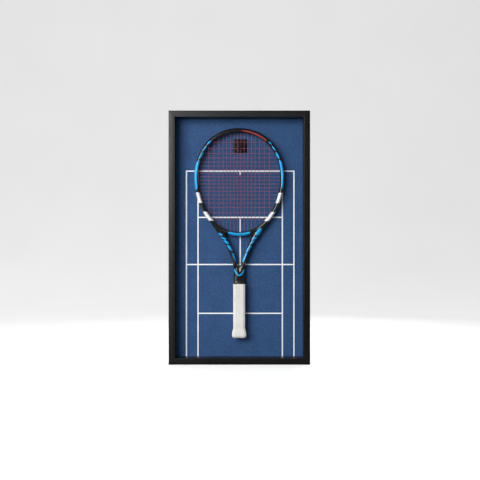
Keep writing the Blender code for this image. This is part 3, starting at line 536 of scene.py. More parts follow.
def make_camera():
    """The camera, where the photograph was taken from."""
    camera = bpy.data.cameras.new("camera")
    camera.sensor_width = 36.0
    camera.lens = 67.3
    bpy.context.scene.camera = place("camera", camera, (0.0021, -2.932, 0.4033),
                                     (radians(90), 0, 0))
    bpy.context.scene.view_settings.view_transform = "Standard"


# Frame

def make_rails():
    """The four mitred rails, with rounded front edges and eased back edges."""
    front, back, joint = mm(1.2, 0.5, 0.06)
    rabbet = FRAME_FACE - FRAME_LIP
    profile = (arc((front, front), front, 180, 270, 6)
               + arc((FRAME_FACE - front, front), front, 270, 360, 6)
               + arc((FRAME_FACE - back, RECESS_DEPTH - back), back, 0, 90, 3)
               + [(rabbet, RECESS_DEPTH)]
               + arc((rabbet - back, FRAME_DEPTH - back), back, 0, 90, 3)
               + arc((back, FRAME_DEPTH - back), back, 90, 180, 3))
    for name, side in (("bottom_rail", -1), ("top_rail", 1), ("left_stile", -1),
                       ("right_stile", 1)):
        level = name.endswith("rail")
        length, width = (FRAME_WIDTH, FRAME_HEIGHT) if level else (FRAME_HEIGHT, FRAME_WIDTH)
        ends = [], []
        for way, points in zip((-1, 1), ends):
            for inset, deep in profile:
                run, out = way * (length / 2 - inset - joint), side * (width / 2 - inset)
                x, z = (run, out) if level else (out, run)
                points.append((x, FRONT_Y + deep, FRAME_HEIGHT / 2 + z))
        rail = make(f"frame_{name}_finished", Shape().skin(ends), "wood_x" if level else "wood_z",
                    "frame", [f"frame_{name}"], 35)
        carve(rail, nail_slots(), 35)


def nail_slots():
    """Return a cutter with the slots of the four bent corner nails."""
    cut = sqrt(0.5)
    leg, thick, grow, inset = mm(4.8, 1.0, 0.3, 8.5)
    lower = [(-cut * leg + cut * grow, -cut * leg - cut * grow),
             (-cut * leg - cut * thick, -cut * leg + cut * thick)]
    outline = [(grow / cut, 0), *lower, (-thick / cut, 0), *((a, -b) for a, b in lower[::-1])]
    depths = (FRAME_DEPTH - 10.3 * MM, FRAME_DEPTH + 1.0 * MM)
    shape = Shape()
    for side_x in (-1, 1):
        for side_z in (-1, 1):
            outward = Vector((side_x, 0, side_z)).normalized()
            across = Vector((-side_z, 0, side_x)).normalized()
            corner = Vector((side_x * (FRAME_WIDTH / 2 - inset), 0,
                             FRAME_HEIGHT / 2 + side_z * (FRAME_HEIGHT / 2 - inset)))
            shape.skin([[corner + Vector((0, FRONT_Y + deep, 0)) + outward * a + across * b
                         for a, b in outline] for deep in depths])
    return shape


# Court lines

LINE_WIDTH = 0.0042
COURT_X = 0.0027
DOUBLES_HALF, SINGLES_HALF = 0.1766, 0.1386
BASELINE_Z, SERVICE_TOP_Z, NET_Z, SERVICE_LOW_Z = (FRAME_HEIGHT / 2 + z for z in (
    0.2187, 0.0668, -0.0882, -0.2487))
CENTRE_MARK = 0.0122


def court_bars():
    """Return the court's lines as bars of (left, low, right, high)."""
    half, foot = LINE_WIDTH / 2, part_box("court_lines")[0].z
    uprights = [(x, foot, BASELINE_Z + half)
                for x in (-DOUBLES_HALF, -SINGLES_HALF, SINGLES_HALF, DOUBLES_HALF)]
    uprights += [(0.0, SERVICE_LOW_Z, SERVICE_TOP_Z), (0.0, BASELINE_Z - CENTRE_MARK, BASELINE_Z)]
    levels = ((BASELINE_Z, DOUBLES_HALF), (SERVICE_TOP_Z, SINGLES_HALF), (NET_Z, DOUBLES_HALF),
              (SERVICE_LOW_Z, SINGLES_HALF))
    return ([(COURT_X + x - half, low, COURT_X + x + half, high) for x, low, high in uprights]
            + [(COURT_X - reach, z - half, COURT_X + reach, z + half) for z, reach in levels])


def make_court_lines():
    """The court's lines as one thin network: a grid whose covered cells carry ink."""
    front, back = (end.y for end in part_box("court_lines"))
    bars = court_bars()
    xs = sorted({round(x, 7) for bar in bars for x in bar[::2]})
    zs = sorted({round(z, 7) for bar in bars for z in bar[1::2]})
    shape = Shape()
    numbers = {}

    def corner(i, k, y):
        """Return the number of a grid corner, added when it is first asked for."""
        if (i, k, y) not in numbers:
            numbers[i, k, y], = shape.add([(xs[i], y, zs[k])])
        return numbers[i, k, y]

    def covered(i, k):
        """Say whether a grid cell lies on a line."""
        if not (0 <= i < len(xs) - 1 and 0 <= k < len(zs) - 1):
            return False
        x, z = (xs[i] + xs[i + 1]) / 2, (zs[k] + zs[k + 1]) / 2
        return any(left < x < right and low < z < high for left, low, right, high in bars)

    cells = [(i, k) for i in range(len(xs) - 1) for k in range(len(zs) - 1) if covered(i, k)]
    for i, k in cells:
        cell = ((i, k), (i + 1, k), (i + 1, k + 1), (i, k + 1))
        shape.faces.append([corner(*point, front) for point in cell])
        shape.faces.append([corner(*point, back) for point in reversed(cell)])
        for n, neighbour in enumerate(((i, k - 1), (i + 1, k), (i, k + 1), (i - 1, k))):
            if not covered(*neighbour):
                a, b = cell[n], cell[(n + 1) % 4]
                shape.faces.append((corner(*a, front), corner(*a, back),
                                    corner(*b, back), corner(*b, front)))
    make("court_lines_printed", shape, "ink", "frame", ["court_lines"], 0)


# Back hardware

SEAT = FRONT_Y + FRAME_DEPTH + GAP
# Place and pointing direction of each turn button
BUTTONS = ((-0.220, 0.1644, (1, 0)), (-0.220, 0.6576, (1, 0)), (0.220, 0.1644, (-1, 0)),
           (0.220, 0.6576, (-1, 0)), (0.0, 0.813, (0, -1)), (0.0, 0.009, (0, 1)))
HANGER_X, HANGER_Z = 0.2205, 0.590
STRAP_BORE, STRAP_THICK = mm(1.25, 0.7)
BUMPER_X, BUMPER_Z = mm(221.5, 45.0)


def make_turn_buttons():
    """Six stamped steel turn buttons with eased edges, each on its own body."""
    half, reach, hole, thick = mm(5.0, 16.0, 2.1, 1.5)
    outline = arc((0, 0), half, 90, 270, 20) + arc((reach - half, 0), half, -90, 90, 20)

    def inset(amount):
        """Return the outline drawn in."""
        moved = []
        for a, b in outline:
            middle = Vector((min(max(a, 0.0), reach - half), 0))
            moved.append(middle + (Vector((a, b)) - middle) * (1 - amount / half))
        return moved

    def bore(radius):
        """Return the screw hole's points, one for each of the outline's."""
        return [Vector(point).normalized() * radius for point in outline]

    rings = ((inset(0.15 * MM), 0.0), (outline, 0.2 * MM), (outline, thick - 0.35 * MM),
             (inset(0.12 * MM), thick - 0.1 * MM), (inset(0.35 * MM), thick),
             (bore(hole + 0.2 * MM), thick), (bore(hole), thick - 0.2 * MM), (bore(hole), 0.0))
    for number, (x, z, (dx, dz)) in enumerate(BUTTONS, start=1):
        turned = [[(x + a * dx - b * dz, SEAT + deep, z + a * dz + b * dx) for a, b in points]
                  for points, deep in rings]
        node = f"turn_button_{number}"
        make(f"{node}_stamped", Shape().skin(turned, closed=True), "zinc", node, [node], 35)


def screw_mesh():
    """Return the mesh of a round-head wood screw with a cross recess, head towards +Y."""
    profile = [(-10.0, 0.05), (-7.4, 1.05)]
    for turn in range(5):
        profile += [(-7.2 + 1.4 * turn, 1.5), (-6.9 + 1.4 * turn, 1.1), (-6.2 + 1.4 * turn, 1.1)]
    profile += [(0.0, 1.4), (0.0, 2.7), (0.12, 3.0), (0.4, 3.1)]
    profile += [(0.4 + 1.2 * sin(radians(a)), 3.1 * cos(radians(a)))
                for a in (12, 25, 38, 50, 62, 74, 83)]
    profile.append((1.6, 0.01))
    shape = Shape().lathe((0, 0, 0), (0, 1, 0), profile, 28)
    piece = make("screw_pattern", shape, "zinc", smooth=0)
    recess = Shape()
    for turned in (False, True):
        rings = []
        for deep, length, width in ((0.75, 0.5, 0.25), (1.9, 1.75, 0.48)):
            a, b = (width, length) if turned else (length, width)
            rings.append([mm(p * a, deep, q * b) for p, q in ((-1, -1), (1, -1), (1, 1), (-1, 1))])
        recess.skin(rings)
    carve(piece, recess, 32)
    mesh = piece.data
    bpy.data.objects.remove(piece)
    mesh.name = "round_head_screw"
    return mesh


def make_screws():
    """The back's ten wood screws, each turned a little differently."""
    mesh = screw_mesh()
    over_button, over_strap, turn = 1.8 * MM, 1.0 * MM, 37
    drops = ((18.5 * MM, "upper"), (28.5 * MM, "lower"))
    places = [(f"turn_button_screw_{n}", x, z, over_button)
              for n, (x, z, _) in enumerate(BUTTONS, 1)]
    places += [(f"hanger_screw_{label}_{which}", side * HANGER_X, HANGER_Z - drop, over_strap)
               for side, label in SIDES for drop, which in drops]
    for number, (node, x, z, proud) in enumerate(places):
        piece = place(f"{node}_driven", mesh, (x, SEAT + proud, z), (0, radians(turn * number), 0))
        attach(piece, "frame")
        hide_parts(node)


def make_hanger_strap(side, label):
    """A folded hanger strap with a round lower end."""
    thin, wide, ease = STRAP_THICK / 2, 4.0 * MM, 0.12 * MM
    edge = [(-thin, ease - wide), (ease - thin, -wide), (thin - ease, -wide), (thin, ease - wide)]
    section = edge + [(-a, -b) for a, b in edge]
    lower_end, bend_start = -34.0, -3.0 * MM
    end_steps = (0.02, 0.25, 0.8, 1.6, 2.6, 4.0)
    run = [(thin, (lower_end + along) * MM) for along in end_steps] + [(thin, bend_start)]
    run += arc((STRAP_BORE + STRAP_THICK, 0), STRAP_BORE + thin, 180, -60, 24)
    path = [Vector((side * HANGER_X, SEAT + a, HANGER_Z + b)) for a, b in run]
    widths = [sqrt(1 - (1 - along / 4.0) ** 2) for along in end_steps]
    widths += [1.0] * (len(path) - len(widths))
    node = f"hanger_strap_{label}"
    make(f"{node}_folded", Shape().tube(path, section, up=Vector((1, 0, 0)), widths=widths),
         "zinc", "frame", [node], 35)


def make_hanger_ring(side, label):
    """A D-shaped wire ring on its own body."""
    corner, wide, drop, wire = mm(1.0, 6.8, 7.0, 1.0)
    loop = arc((wide - corner, -corner), corner, 90, 0, 8)
    loop += arc((0, -drop), wide, 0, -180, 40)
    loop += arc((corner - wide, -corner), corner, 180, 90, 8)
    path = [Vector((side * HANGER_X + a, SEAT + STRAP_BORE + STRAP_THICK, HANGER_Z + b))
            for a, b in loop]
    node = f"hanger_ring_{label}"
    make(f"{node}_wire", Shape().tube(path, circle(wire, 14), closed=True), "zinc", node,
         [node], 60)


def make_bumpers():
    """Two rubber bumpers with a rounded rim, a shallow ring and a flat face."""
    profile = ((0.0, 5.6), (0.15, 5.95), (0.5, 6.0), (2.2, 6.0), (2.9, 5.85), (3.5, 5.45),
               (3.95, 4.85), (4.25, 4.3), (4.45, 3.9), (4.5, 3.7), (4.5, 2.5), (4.3, 2.3),
               (4.3, 1.9), (4.5, 1.7), (4.5, 0.0))
    for side, label in SIDES:
        shape = Shape().lathe((side * BUMPER_X, SEAT, BUMPER_Z), (0, 1, 0), profile, 40)
        make(f"wall_bumper_{label}_moulded", shape, "rubber", "frame", [f"wall_bumper_{label}"],
             40)


# Racket mount

def make_mount_plate():
    """The mount plate with rounded corners and eased edges."""
    low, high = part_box("mount_plate")
    middle = (low + high) / 2
    radius = 3.6 * MM
    straight = (high.x - low.x) / 2 - radius
    rings = []
    for deep, inset in ((0.0, 0.9), (0.12, 0.45), (0.4, 0.12), (0.9, 0.0), (3.0, 0.0)):
        outline = []
        for start, sx, sz in ((0, 1, 1), (90, -1, 1), (180, -1, -1), (270, 1, -1)):
            outline += arc((sx * straight, sz * straight), radius - inset * MM, start,
                           start + 90, 10)
        rings.append([(middle.x + a, low.y + deep * MM, middle.z + b) for a, b in outline])
    make("mount_plate_moulded", Shape().skin(rings), "plate", "frame", ["mount_plate"], 35)


def make_hook():
    """The forged hook that stands out of the plate, with its flange and shank."""
    clear, tip, thick = mm(3.65, 25.0, 2.7)
    tilt = radians(60)
    resting = world((0, CROSSES[1]), -STRING_PLANE)
    root = Vector((resting.x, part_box("mount_plate")[0].y - GAP, resting.z - clear))
    path = [root]
    path += [Vector((root.x, resting.y - a, root.z + b))
             for a, b in arc((0, clear), clear, -90, -30, 12)]
    bend, way = path[-1], Vector((0, -cos(tilt), sin(tilt)))
    path += [bend + way * tip * share for share in (0.25, 0.5, 0.75, 0.88)]
    scales = [1.0] * len(path)
    for angle in (0, 18, 36, 54, 70, 82, 89):
        path.append(bend + way * (tip + thick * sin(radians(angle))))
        scales.append(cos(radians(angle)))
    shape = Shape().tube(path, circle(thick, 24), up=Vector((1, 0, 0)), widths=scales,
                         heights=scales)
    flange = ((-2.4, 2.7), (-1.9, 2.85), (-1.5, 3.3), (-1.25, 4.1), (-1.2, 4.6), (-1.05, 5.1),
              (-0.7, 5.4), (-0.2, 5.5), (0.0, 5.4), (0.0, 2.3), (8.7, 2.3), (8.9, 2.0))
    make("racket_hook_forged", shape.lathe(root, (0, 1, 0), flange, 36), "hook_steel", "frame",
         ["racket_hook"], 40)


# Racket frame

def hoop_at(angle, outward=0.0):
    """Return the hoop's (x, height) at an angle from its top, moved outward."""
    upper = cos(angle) >= 0
    rise = HEAD_UPPER if upper else HEAD_LOWER
    power = HEAD_SQUARENESS if upper else 2
    x = signed_power(sin(angle), 2 / power)
    z = signed_power(cos(angle), 2 / power)
    normal = Vector((signed_power(x, power - 1) / HEAD_HALF_WIDTH,
                     signed_power(z, power - 1) / rise)).normalized()
    return Vector((x * HEAD_HALF_WIDTH, HEAD_CENTRE + z * rise)) + normal * outward


def arm_at(t, outward=0.0):
    """Return the arm's (x, height) at a share of its length; outward is in half widths."""
    top = hoop_at(radians(ARM_ANGLE), ARM_OUTWARD)
    knots = (top, top + Vector(ARM_LEAVE), Vector(ARM_BEND), Vector(ARM_FOOT))
    weights = ((1 - t) ** 3, 3 * t * (1 - t) ** 2, 3 * t * t * (1 - t), t ** 3)
    point = sum((knot * weight for knot, weight in zip(knots, weights)), Vector((0, 0)))
    slope = ((knots[1] - knots[0]) * (1 - t) ** 2 + (knots[2] - knots[1]) * 2 * t * (1 - t)
             + (knots[3] - knots[2]) * t * t).normalized()
    half = (ARM_FACE + ARM_SWELL * sin(pi * min(t / 0.5, 1)) ** 2) / 2
    return point + Vector((-slope.y, slope.x)) * half * outward


def world(point, y=0.0):
    """Place a racket point (x, height) in the world."""
    return Vector((RACKET_X + point[0], RACKET_Y + y, BUTT_Z + point[1]))


RING_ANGLES = (0, 9, 22, 40, 64, 90, 120, 150, 180)
FRONT_MIDDLE, BACK_MIDDLE = 5, 11
# Outward and y of the string groove's points, in mm from the outer side and the middle plane
GROOVE = ((-1.85, 0.0), (-1.85, -1.6), (-0.04, -1.95))


def beam_section(half, depth, groove=0.0, dip=0.0):
    """Return 16 (outward, y) points round a tube, from its outer side over its front.

    groove from 0 to 1 sinks the string groove; dip draws the front and back middle in.
    """
    ring = [[half * cos(radians(a)), -depth * sin(radians(a))] for a in RING_ANGLES]
    for k, (out, y) in enumerate(GROOVE):
        ring[k] = [p + (q - p) * groove for p, q in zip(ring[k], (half + out * MM, y * MM))]
    ring[FRONT_MIDDLE][1] += dip
    return ring + [[a, -y] for a, y in reversed(ring[1:-1])]


def tube_ring(outer, inner, depth, groove=0.0, dip=0.0, middle=None):
    """Return a ring's 16 racket points between an outer and an inner edge point."""
    outer, inner = Vector(outer), Vector(inner)
    centre, half = (outer + inner) / 2, (outer - inner).length / 2
    side = (outer - inner).normalized()
    ring = []
    for a, y in beam_section(half, depth, groove, dip):
        point = centre + side * a
        if middle is not None:
            point += (Vector(middle) - centre) * (1 - abs(a) / half)
        ring.append((point.x, y, point.y))
    return ring


def saddle(front, crotch, depth):
    """Return the 5 points between the front and back middles, round a crotch."""
    front, crotch = Vector(front), Vector(crotch)
    points = []
    for angle in (60, 30, 0, -30, -60):
        point = front + (crotch - front) * cos(radians(angle))
        points.append((point.x, -depth * sin(radians(angle)), point.y))
    return points


def beam_edges(angle):
    """Return the hoop beam's outer and inner edge at an angle in degrees from its top."""
    return hoop_at(radians(angle), BEAM_HALF), hoop_at(radians(angle), -BEAM_HALF)


def bridge_ring(angle):
    """Return the bridge's 12 points at an angle, from the front middle over the head side."""
    outer, inner = beam_edges(angle)
    centre, side = (outer + inner) / 2, (outer - inner).normalized()
    ring = []
    for k in range(12):
        a = radians(90 + 30 * k)
        point = centre + side * BEAM_HALF * cos(a)
        ring.append((point.x, -BEAM_HALF_DEPTH * sin(a), point.y))
    return ring


class Cage(Shape):
    """A control mesh of rings of racket points (x, y, height)."""

    def put(self, ring, flip=False):
        """Add a ring, mirrored to the left side if flipped, and return its numbers."""
        return self.add([world((-x if flip else x, z), y) for x, y, z in ring])

    def grow(self, last, ring, flip=False):
        """Add a ring, join it to the last one and return its numbers."""
        numbers = self.put(ring, flip)
        self.join(last, numbers)
        return numbers


HOOP_RINGS = 30
HOOP_STEP = 4.5
# Outer edge, inner edge, groove and dip of the rings where hoop and arm part, in mm
PARTING = (
    ((104.5, 390.1), (94.1, 397.9), 0.9, 0.0), ((97.0, 380.9), (86.9, 389.2), 0.6, 0.1),
    ((90.2, 371.3), (79.3, 380.8), 0.3, 0.4), ((84.0, 363.3), (70.9, 373.2), 0.0, 0.8),
    ((77.5, 354.2), (61.8, 366.3), 0.0, 1.3),
)
SPLIT = ((68.6, 341.0), (50.5, 359.4), 0.0, 1.7)
SPLIT_MIDDLE, THROAT_CORNER = (58.6, 349.6), (43.6, 339.4)
ARM_PLACES = (0.335, 0.375, 0.42, 0.47, 0.53, 0.59, 0.65, 0.71, 0.77, 0.82, 0.87)
BRIDGE_ANGLES = (164.0, 168.5, 174.0)
# Height, half width, half depth, valley depth and squareness of the shaft's rings, in mm, and
# of the slimmer tang inside the handle
SHAFT_RINGS = ((224.5, 18.0, 12.0, 2.4, 2.0), (218.5, 17.7, 12.2, 1.3, 2.1),
               (212.0, 17.6, 12.3, 0.4, 2.3), (204.0, 17.5, 12.3, 0.0, 2.7),
               (196.0, 17.4, 12.2, 0.0, 3.2), (188.0, 17.4, 12.2, 0.0, 3.2),
               (179.0, 17.4, 12.2, 0.0, 3.2), (177.3, 17.4, 12.2, 0.0, 3.2),
               (177.2, 10.9, 7.9, 0.0, 4.0), (175.5, 10.9, 7.9, 0.0, 4.0),
               (90.0, 10.9, 7.9, 0.0, 4.0), (31.0, 10.9, 7.9, 0.0, 4.0),
               (30.2, 10.6, 7.6, 0.0, 4.0))


def make_racket_cage():
    """Build the racket frame's control mesh: hoop, bridge, arms and shaft in one closed skin."""
    cage = Cage()
    hoop = []
    for k in range(-HOOP_RINGS + 1, HOOP_RINGS):
        ring = tube_ring(*beam_edges(abs(k) * HOOP_STEP), BEAM_HALF_DEPTH, groove=1.0)
        hoop.append(cage.put(ring, k < 0))
    for low, high in zip(hoop, hoop[1:]):
        cage.join(low, high)
    arm_right, bridge_right = part_arm(cage, hoop[-1], False)
    arm_left, bridge_left = part_arm(cage, hoop[0], True)
    centre = cage.grow(bridge_right, bridge_ring(180.0))
    cage.join(bridge_left, centre)
    merge_shaft(cage, arm_right, arm_left)
    return cage


def parting_ring(outer, inner, groove, dip, middle=None):
    """Return a parting ring, measures in mm, with its middle moved to a point if given."""
    return tube_ring(mm(*outer), mm(*inner), BEAM_HALF_DEPTH, groove, dip * MM, middle)


def part_arm(cage, last, flip):
    """Split an end of the hoop in two, and return the last rings of the arm and the bridge."""
    for row in PARTING:
        last = cage.grow(last, parting_ring(*row), flip)
    middle = Vector(SPLIT_MIDDLE) * MM
    last = cage.grow(last, parting_ring(*SPLIT, middle), flip)
    depth = BEAM_HALF_DEPTH - SPLIT[3] * MM
    crotch = cage.put(saddle(middle, Vector(THROAT_CORNER) * MM, depth), flip)
    arm = last[:FRONT_MIDDLE + 1] + crotch + last[BACK_MIDDLE:]
    bridge = last[FRONT_MIDDLE:BACK_MIDDLE + 1] + crotch[::-1]
    for share in ARM_PLACES:
        fade = max(0.0, 1 - (share - 0.3) / 0.12)
        arm = cage.grow(arm, tube_ring(arm_at(share, 1), arm_at(share, -1),
                                       ARM_HALF_DEPTH + 0.5 * MM * fade), flip)
    for angle in BRIDGE_ANGLES:
        bridge = cage.grow(bridge, bridge_ring(angle), flip)
    return arm, bridge


def merge_shaft(cage, arm_right, arm_left):
    """Merge both arms into the shaft and end it inside the handle."""
    half, depth, low, high, valley = mm(18.8, 11.8, 227.5, 233.5, 3.0)
    notch = NOTCH - 2.2 * MM
    right = []
    for angle in (90, 64, 40, 22, 9, 0, -9, -22, -40, -64, -90):
        across, forward = cos(radians(angle)), -sin(radians(angle))
        right.append((half * across, depth * forward, low + (high - low) * across))
    crotch = cage.put(saddle((0, low), (0, notch), depth - valley))
    front, back = cage.put([(0, y + copysign(valley, -y), z) for _, y, z in (right[0], right[-1])])
    right_side, left_side = (cage.put(right[1:-1], flip) for flip in (False, True))
    for side, arm in ((right_side, arm_right), (left_side, arm_left)):
        cage.join(arm, side[4::-1] + [front] + crotch + [back] + side[:4:-1])
    last = [front] + right_side + [back] + left_side[::-1]
    for height, half, deep, dip, power in SHAFT_RINGS:
        ring = []
        for angle in range(90, -270, -18):
            a = radians(angle)
            here = deep - dip if abs(angle) == 90 else deep
            ring.append((half * MM * signed_power(cos(a), 2 / power),
                         -here * MM * signed_power(sin(a), 2 / power), height * MM))
        last = cage.grow(last, ring)
    cage.faces.append(tuple(last))


def subdivide(piece, levels, passes=4, nudge=0.9):
    """Subdivide a control mesh so that the fine mesh runs through its own points."""
    mesh = piece.data
    modifier = piece.modifiers.new("fine", "SUBSURF")
    modifier.levels = modifier.render_levels = levels
    modifier.boundary_smooth = "PRESERVE_CORNERS"
    goal = read_points(mesh)
    cage = goal.copy()
    for _ in range(passes):
        shown = piece.evaluated_get(bpy.context.evaluated_depsgraph_get())
        cage = cage + (goal - read_points(shown.to_mesh())[:len(goal)]) * nudge
        shown.to_mesh_clear()
        mesh.vertices.foreach_set("co", cage)
        mesh.update()
    apply_modifiers(piece)


# Painted areas of the racket, as outlines in mm from its axis and butt end
PAINT = {
    "blue": (
        ((-99.1, 641.2), (-90.6, 644.7), (-93.5, 636.3), (-103.3, 629.4), (-106.5, 631.4)),
        ((-110.8, 624.9), (-103.3, 628.1), (-105.6, 620), (-116.3, 608.3), (-119.9, 610.9)),
        ((-122.2, 604.4), (-114, 608.3), (-116, 597.2), (-126.4, 583.9), (-133.6, 583.2)),
        ((-132.6, 579.7), (-126.1, 582.6), (-128.7, 570.9), (-132.9, 554.6), (-135.2, 535.1),
         (-135.8, 515.6), (-134.2, 491.5), (-138.8, 482.4), (-153.4, 482.4), (-156.7, 531.8),
         (-143.6, 570.2)),
        ((94.6, 637.6), (97.5, 642.1), (102.7, 639.9), (106.9, 633), (105, 629.4), (99.8, 633.4)),
        ((105.6, 624.9), (109.9, 626.2), (120.3, 613.8), (118, 610.6), (112.1, 614.5),
         (107.6, 620.3)),
        ((117, 603.7), (120.6, 607), (127.8, 598.9), (133.3, 584.9), (128.4, 583.2),
         (120.6, 593.3)),
        ((127.8, 579.7), (133, 581.9), (139.2, 575.1), (150.9, 561.1), (155.7, 515.6),
         (150.9, 483), (141.4, 483), (136.2, 494.4), (136.5, 528.6), (134.3, 548.1),
         (131.7, 564)),
        ((-73.7, 341.1), (-64.6, 344.4), (-57.1, 341.1), (-52.2, 334.9), (-61.6, 333.3)),
        ((-65.5, 328.1), (-57.4, 331.7), (-45.4, 327.5), (-38.5, 321.3), (-50.2, 321)),
        ((-55.8, 319), (-45.4, 320.3), (-36.3, 316.1), (-30.1, 307.6), (-41.5, 307.3),
         (-48, 312.2)),
        ((-41.8, 304.7), (-32.3, 304.4), (-23.9, 296.9), (-16.7, 283.5), (-23.9, 283.5),
         (-34.6, 291.7)),
        ((-24.2, 279), (-16.1, 277.3), (-7.6, 262), (-2.4, 247.7), (-11.2, 247.7), (-18.7, 262)),
        ((55.2, 341.8), (56.8, 350.6), (64, 359.4), (71.5, 359.7), (75.4, 353.5), (70.5, 344.1),
         (68.5, 337.2), (61.1, 334.9), (53.6, 334.6)),
        ((38.6, 321.3), (45.4, 328.4), (55.5, 332), (63.3, 329.7), (58.1, 323.9), (48.7, 321)),
        ((33.1, 306.6), (38.3, 314.4), (46.4, 320.3), (56.2, 319), (50.6, 312.2),
         (41.5, 306.3)),
        ((18.7, 280.9), (26.2, 293), (33.4, 303.4), (43.5, 304.7), (38.9, 294.9),
         (28.5, 281.2)),
        ((6.7, 248.4), (13.2, 262.4), (20, 278.3), (28.8, 279.9), (24, 268.6), (15.2, 248.4)),
    ),
    "chevron": (
        ((-18.7, 227.2), (-14.8, 216.2), (-9.6, 208.8), (-3.4, 203.4), (3.4, 203.4), (10.4, 208.8),
         (15.4, 216.2), (20.4, 227.2), (15.6, 225.8), (10.6, 217.2), (6.0, 210.6), (1.8, 207.4),
         (-1.4, 207.4), (-5.2, 210.6), (-9.6, 217.2), (-14.2, 225.8)),
    ),
    "white": (
        ((-159.9, 475.5), (-107.8, 474.9), (-107.8, 441.4), (-146.9, 441)),
        ((-133.9, 411.7), (-96.5, 413), (-73.7, 383.8), (-114.4, 382.5)),
        ((110.2, 474.2), (162.3, 473.9), (149.2, 440.1), (106.9, 440.7)),
        ((95.5, 412.1), (133, 411.1), (113.4, 381.2), (72.8, 383.1)),
    ),
}


def inside_distance(points, outline):
    """Return each point's distance to an outline, positive inside it."""
    corners = np.array(outline)
    best = np.full(len(points), 1e9)
    inside = np.zeros(len(points), bool)
    for start, end in zip(corners, np.roll(corners, -1, axis=0)):
        edge = end - start
        along = np.clip(((points - start) @ edge) / (edge @ edge), 0, 1)
        best = np.minimum(best, np.linalg.norm(points - start - along[:, None] * edge, axis=1))
        crosses = (start[1] > points[:, 1]) != (end[1] > points[:, 1])
        level = edge[1] if abs(edge[1]) > 1e-9 else 1e-9
        where = start[0] + (points[:, 1] - start[1]) / level * edge[0]
        inside ^= crosses & (points[:, 0] < where)
    return np.where(inside, best, -best)


def hoop_band(stops):
    """Return the outline of a band along the hoop, from stops of (angle, inner and outer edge)."""
    low = [hoop_at(radians(angle), inner * MM) / MM for angle, inner, _ in stops]
    high = [hoop_at(radians(angle), outer * MM) / MM for angle, _, outer in stops]
    return [tuple(p) for p in low + high[::-1]]


RED_BAND = hoop_band([(1.5, -2.1, -1.5), (6.0, -3.8, -0.6)]
                     + [(6.0 + 1.95 * k, -5.1, 0.1) for k in range(1, 18)])
BRIDGE_BAND = hoop_band([(165.0, -1.8, 1.6)]
                        + [(166.6 + 1.34 * k, -3.9, 9.0) for k in range(21)]
                        + [(195.0, -1.8, 1.6)])


def paint_racket(mesh):
    """Store, for each paint, how far every vertex lies inside its outlines, in mm."""
    places = read_points(mesh).reshape(-1, 3)
    flat = np.column_stack([places[:, 0] - RACKET_X, places[:, 2] - BUTT_Z]) / MM
    bands = {**PAINT, "blue": PAINT["blue"] + (BRIDGE_BAND,), "red": (RED_BAND,)}
    for key, outlines in bands.items():
        best = np.max([inside_distance(flat, outline) for outline in outlines], axis=0)
        layer = mesh.attributes.new(f"{key}_edge", "FLOAT", "POINT")
        layer.data.foreach_set("value", best)


def make_racket_frame():
    """The painted racket frame."""
    piece = make("racket_frame_painted", make_racket_cage(), "lacquer", smooth=0)
    subdivide(piece, 2)
    paint_racket(piece.data)
    piece.data.shade_smooth()
    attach(piece, "racket")
    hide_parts("racket_frame")


# Strings

UPPER, LOWER = (0, pi / 2), (pi / 2, pi)
MAIN_WAVE, CROSS_WAVE, LEVEL_END, FIRST_MEETING = mm(0.36, 0.96, 11, 4)
WEAVE_STEPS = 4
TURN = BEAM_HALF - STRING_RADIUS - GAP
UNDER_BRIDGE, BRIDGE_REACH = BEAM_HALF + STRING_RADIUS + 0.05 * MM, 45 * MM


def hoop_crossing(wanted, axis, span, outward):
    """Find where the hoop, moved outward, has the given x (axis 0) or height (axis 1)."""
    low, high = span
    rising = hoop_at(high, outward)[axis] > hoop_at(low, outward)[axis]
    for _ in range(40):
        middle = (low + high) / 2
        if (hoop_at(middle, outward)[axis] < wanted) == rising:
            low = middle
        else:
            high = middle
    return hoop_at((low + high) / 2, outward)


def main_end(x, span, outward):
    """Return the height at which a main string meets the hoop, moved outward."""
    return hoop_crossing(abs(x), 0, span, outward)[1]


def cross_end(z, outward):
    """Return how far from the axis a cross string meets the hoop, moved outward."""
    return hoop_crossing(z, 1, UPPER if z > HEAD_CENTRE else LOWER, outward)[0]


def woven(start, end, rest, meetings):
    """Return a run's (along, y) points, level at its ends and through its meetings between."""
    low, high = start + LEVEL_END, end - LEVEL_END
    stops = [(low, rest)]
    stops += [meeting for meeting in meetings
              if low + FIRST_MEETING < meeting[0] < high - FIRST_MEETING]
    stops.append((high, rest))
    points = [(start, rest)]
    for (a, ya), (b, yb) in zip(stops, stops[1:]):
        for k in range(WEAVE_STEPS):
            eased = 0.5 - 0.5 * cos(pi * (k / WEAVE_STEPS))
            points.append((a + (b - a) * k / WEAVE_STEPS, ya + (yb - ya) * eased))
    return points + [stops[-1], (end, rest)]


def string_runs():
    """Return the woven runs of the main and of the cross string, from hoop to hoop."""
    main_runs, cross_runs = [], []
    for i, x in enumerate(MAINS):
        low = main_end(x, LOWER, UNDER_BRIDGE if abs(x) < BRIDGE_REACH else TURN)
        meetings = [(z, -MAIN_WAVE if (i + j) % 2 else MAIN_WAVE) for j, z in enumerate(CROSSES)]
        path = woven(low, main_end(x, UPPER, TURN), STRING_PLANE, meetings[::-1])
        main_runs.append([Vector((x, y, z)) for z, y in path])
    for j, z in enumerate(CROSSES):
        reach = cross_end(z, TURN)
        meetings = [(x, CROSS_WAVE if (i + j) % 2 else -CROSS_WAVE) for i, x in enumerate(MAINS)]
        path = woven(-reach, reach, -STRING_PLANE, meetings)
        cross_runs.append([Vector((x, y, z)) for x, y in path])
    return main_runs, cross_runs


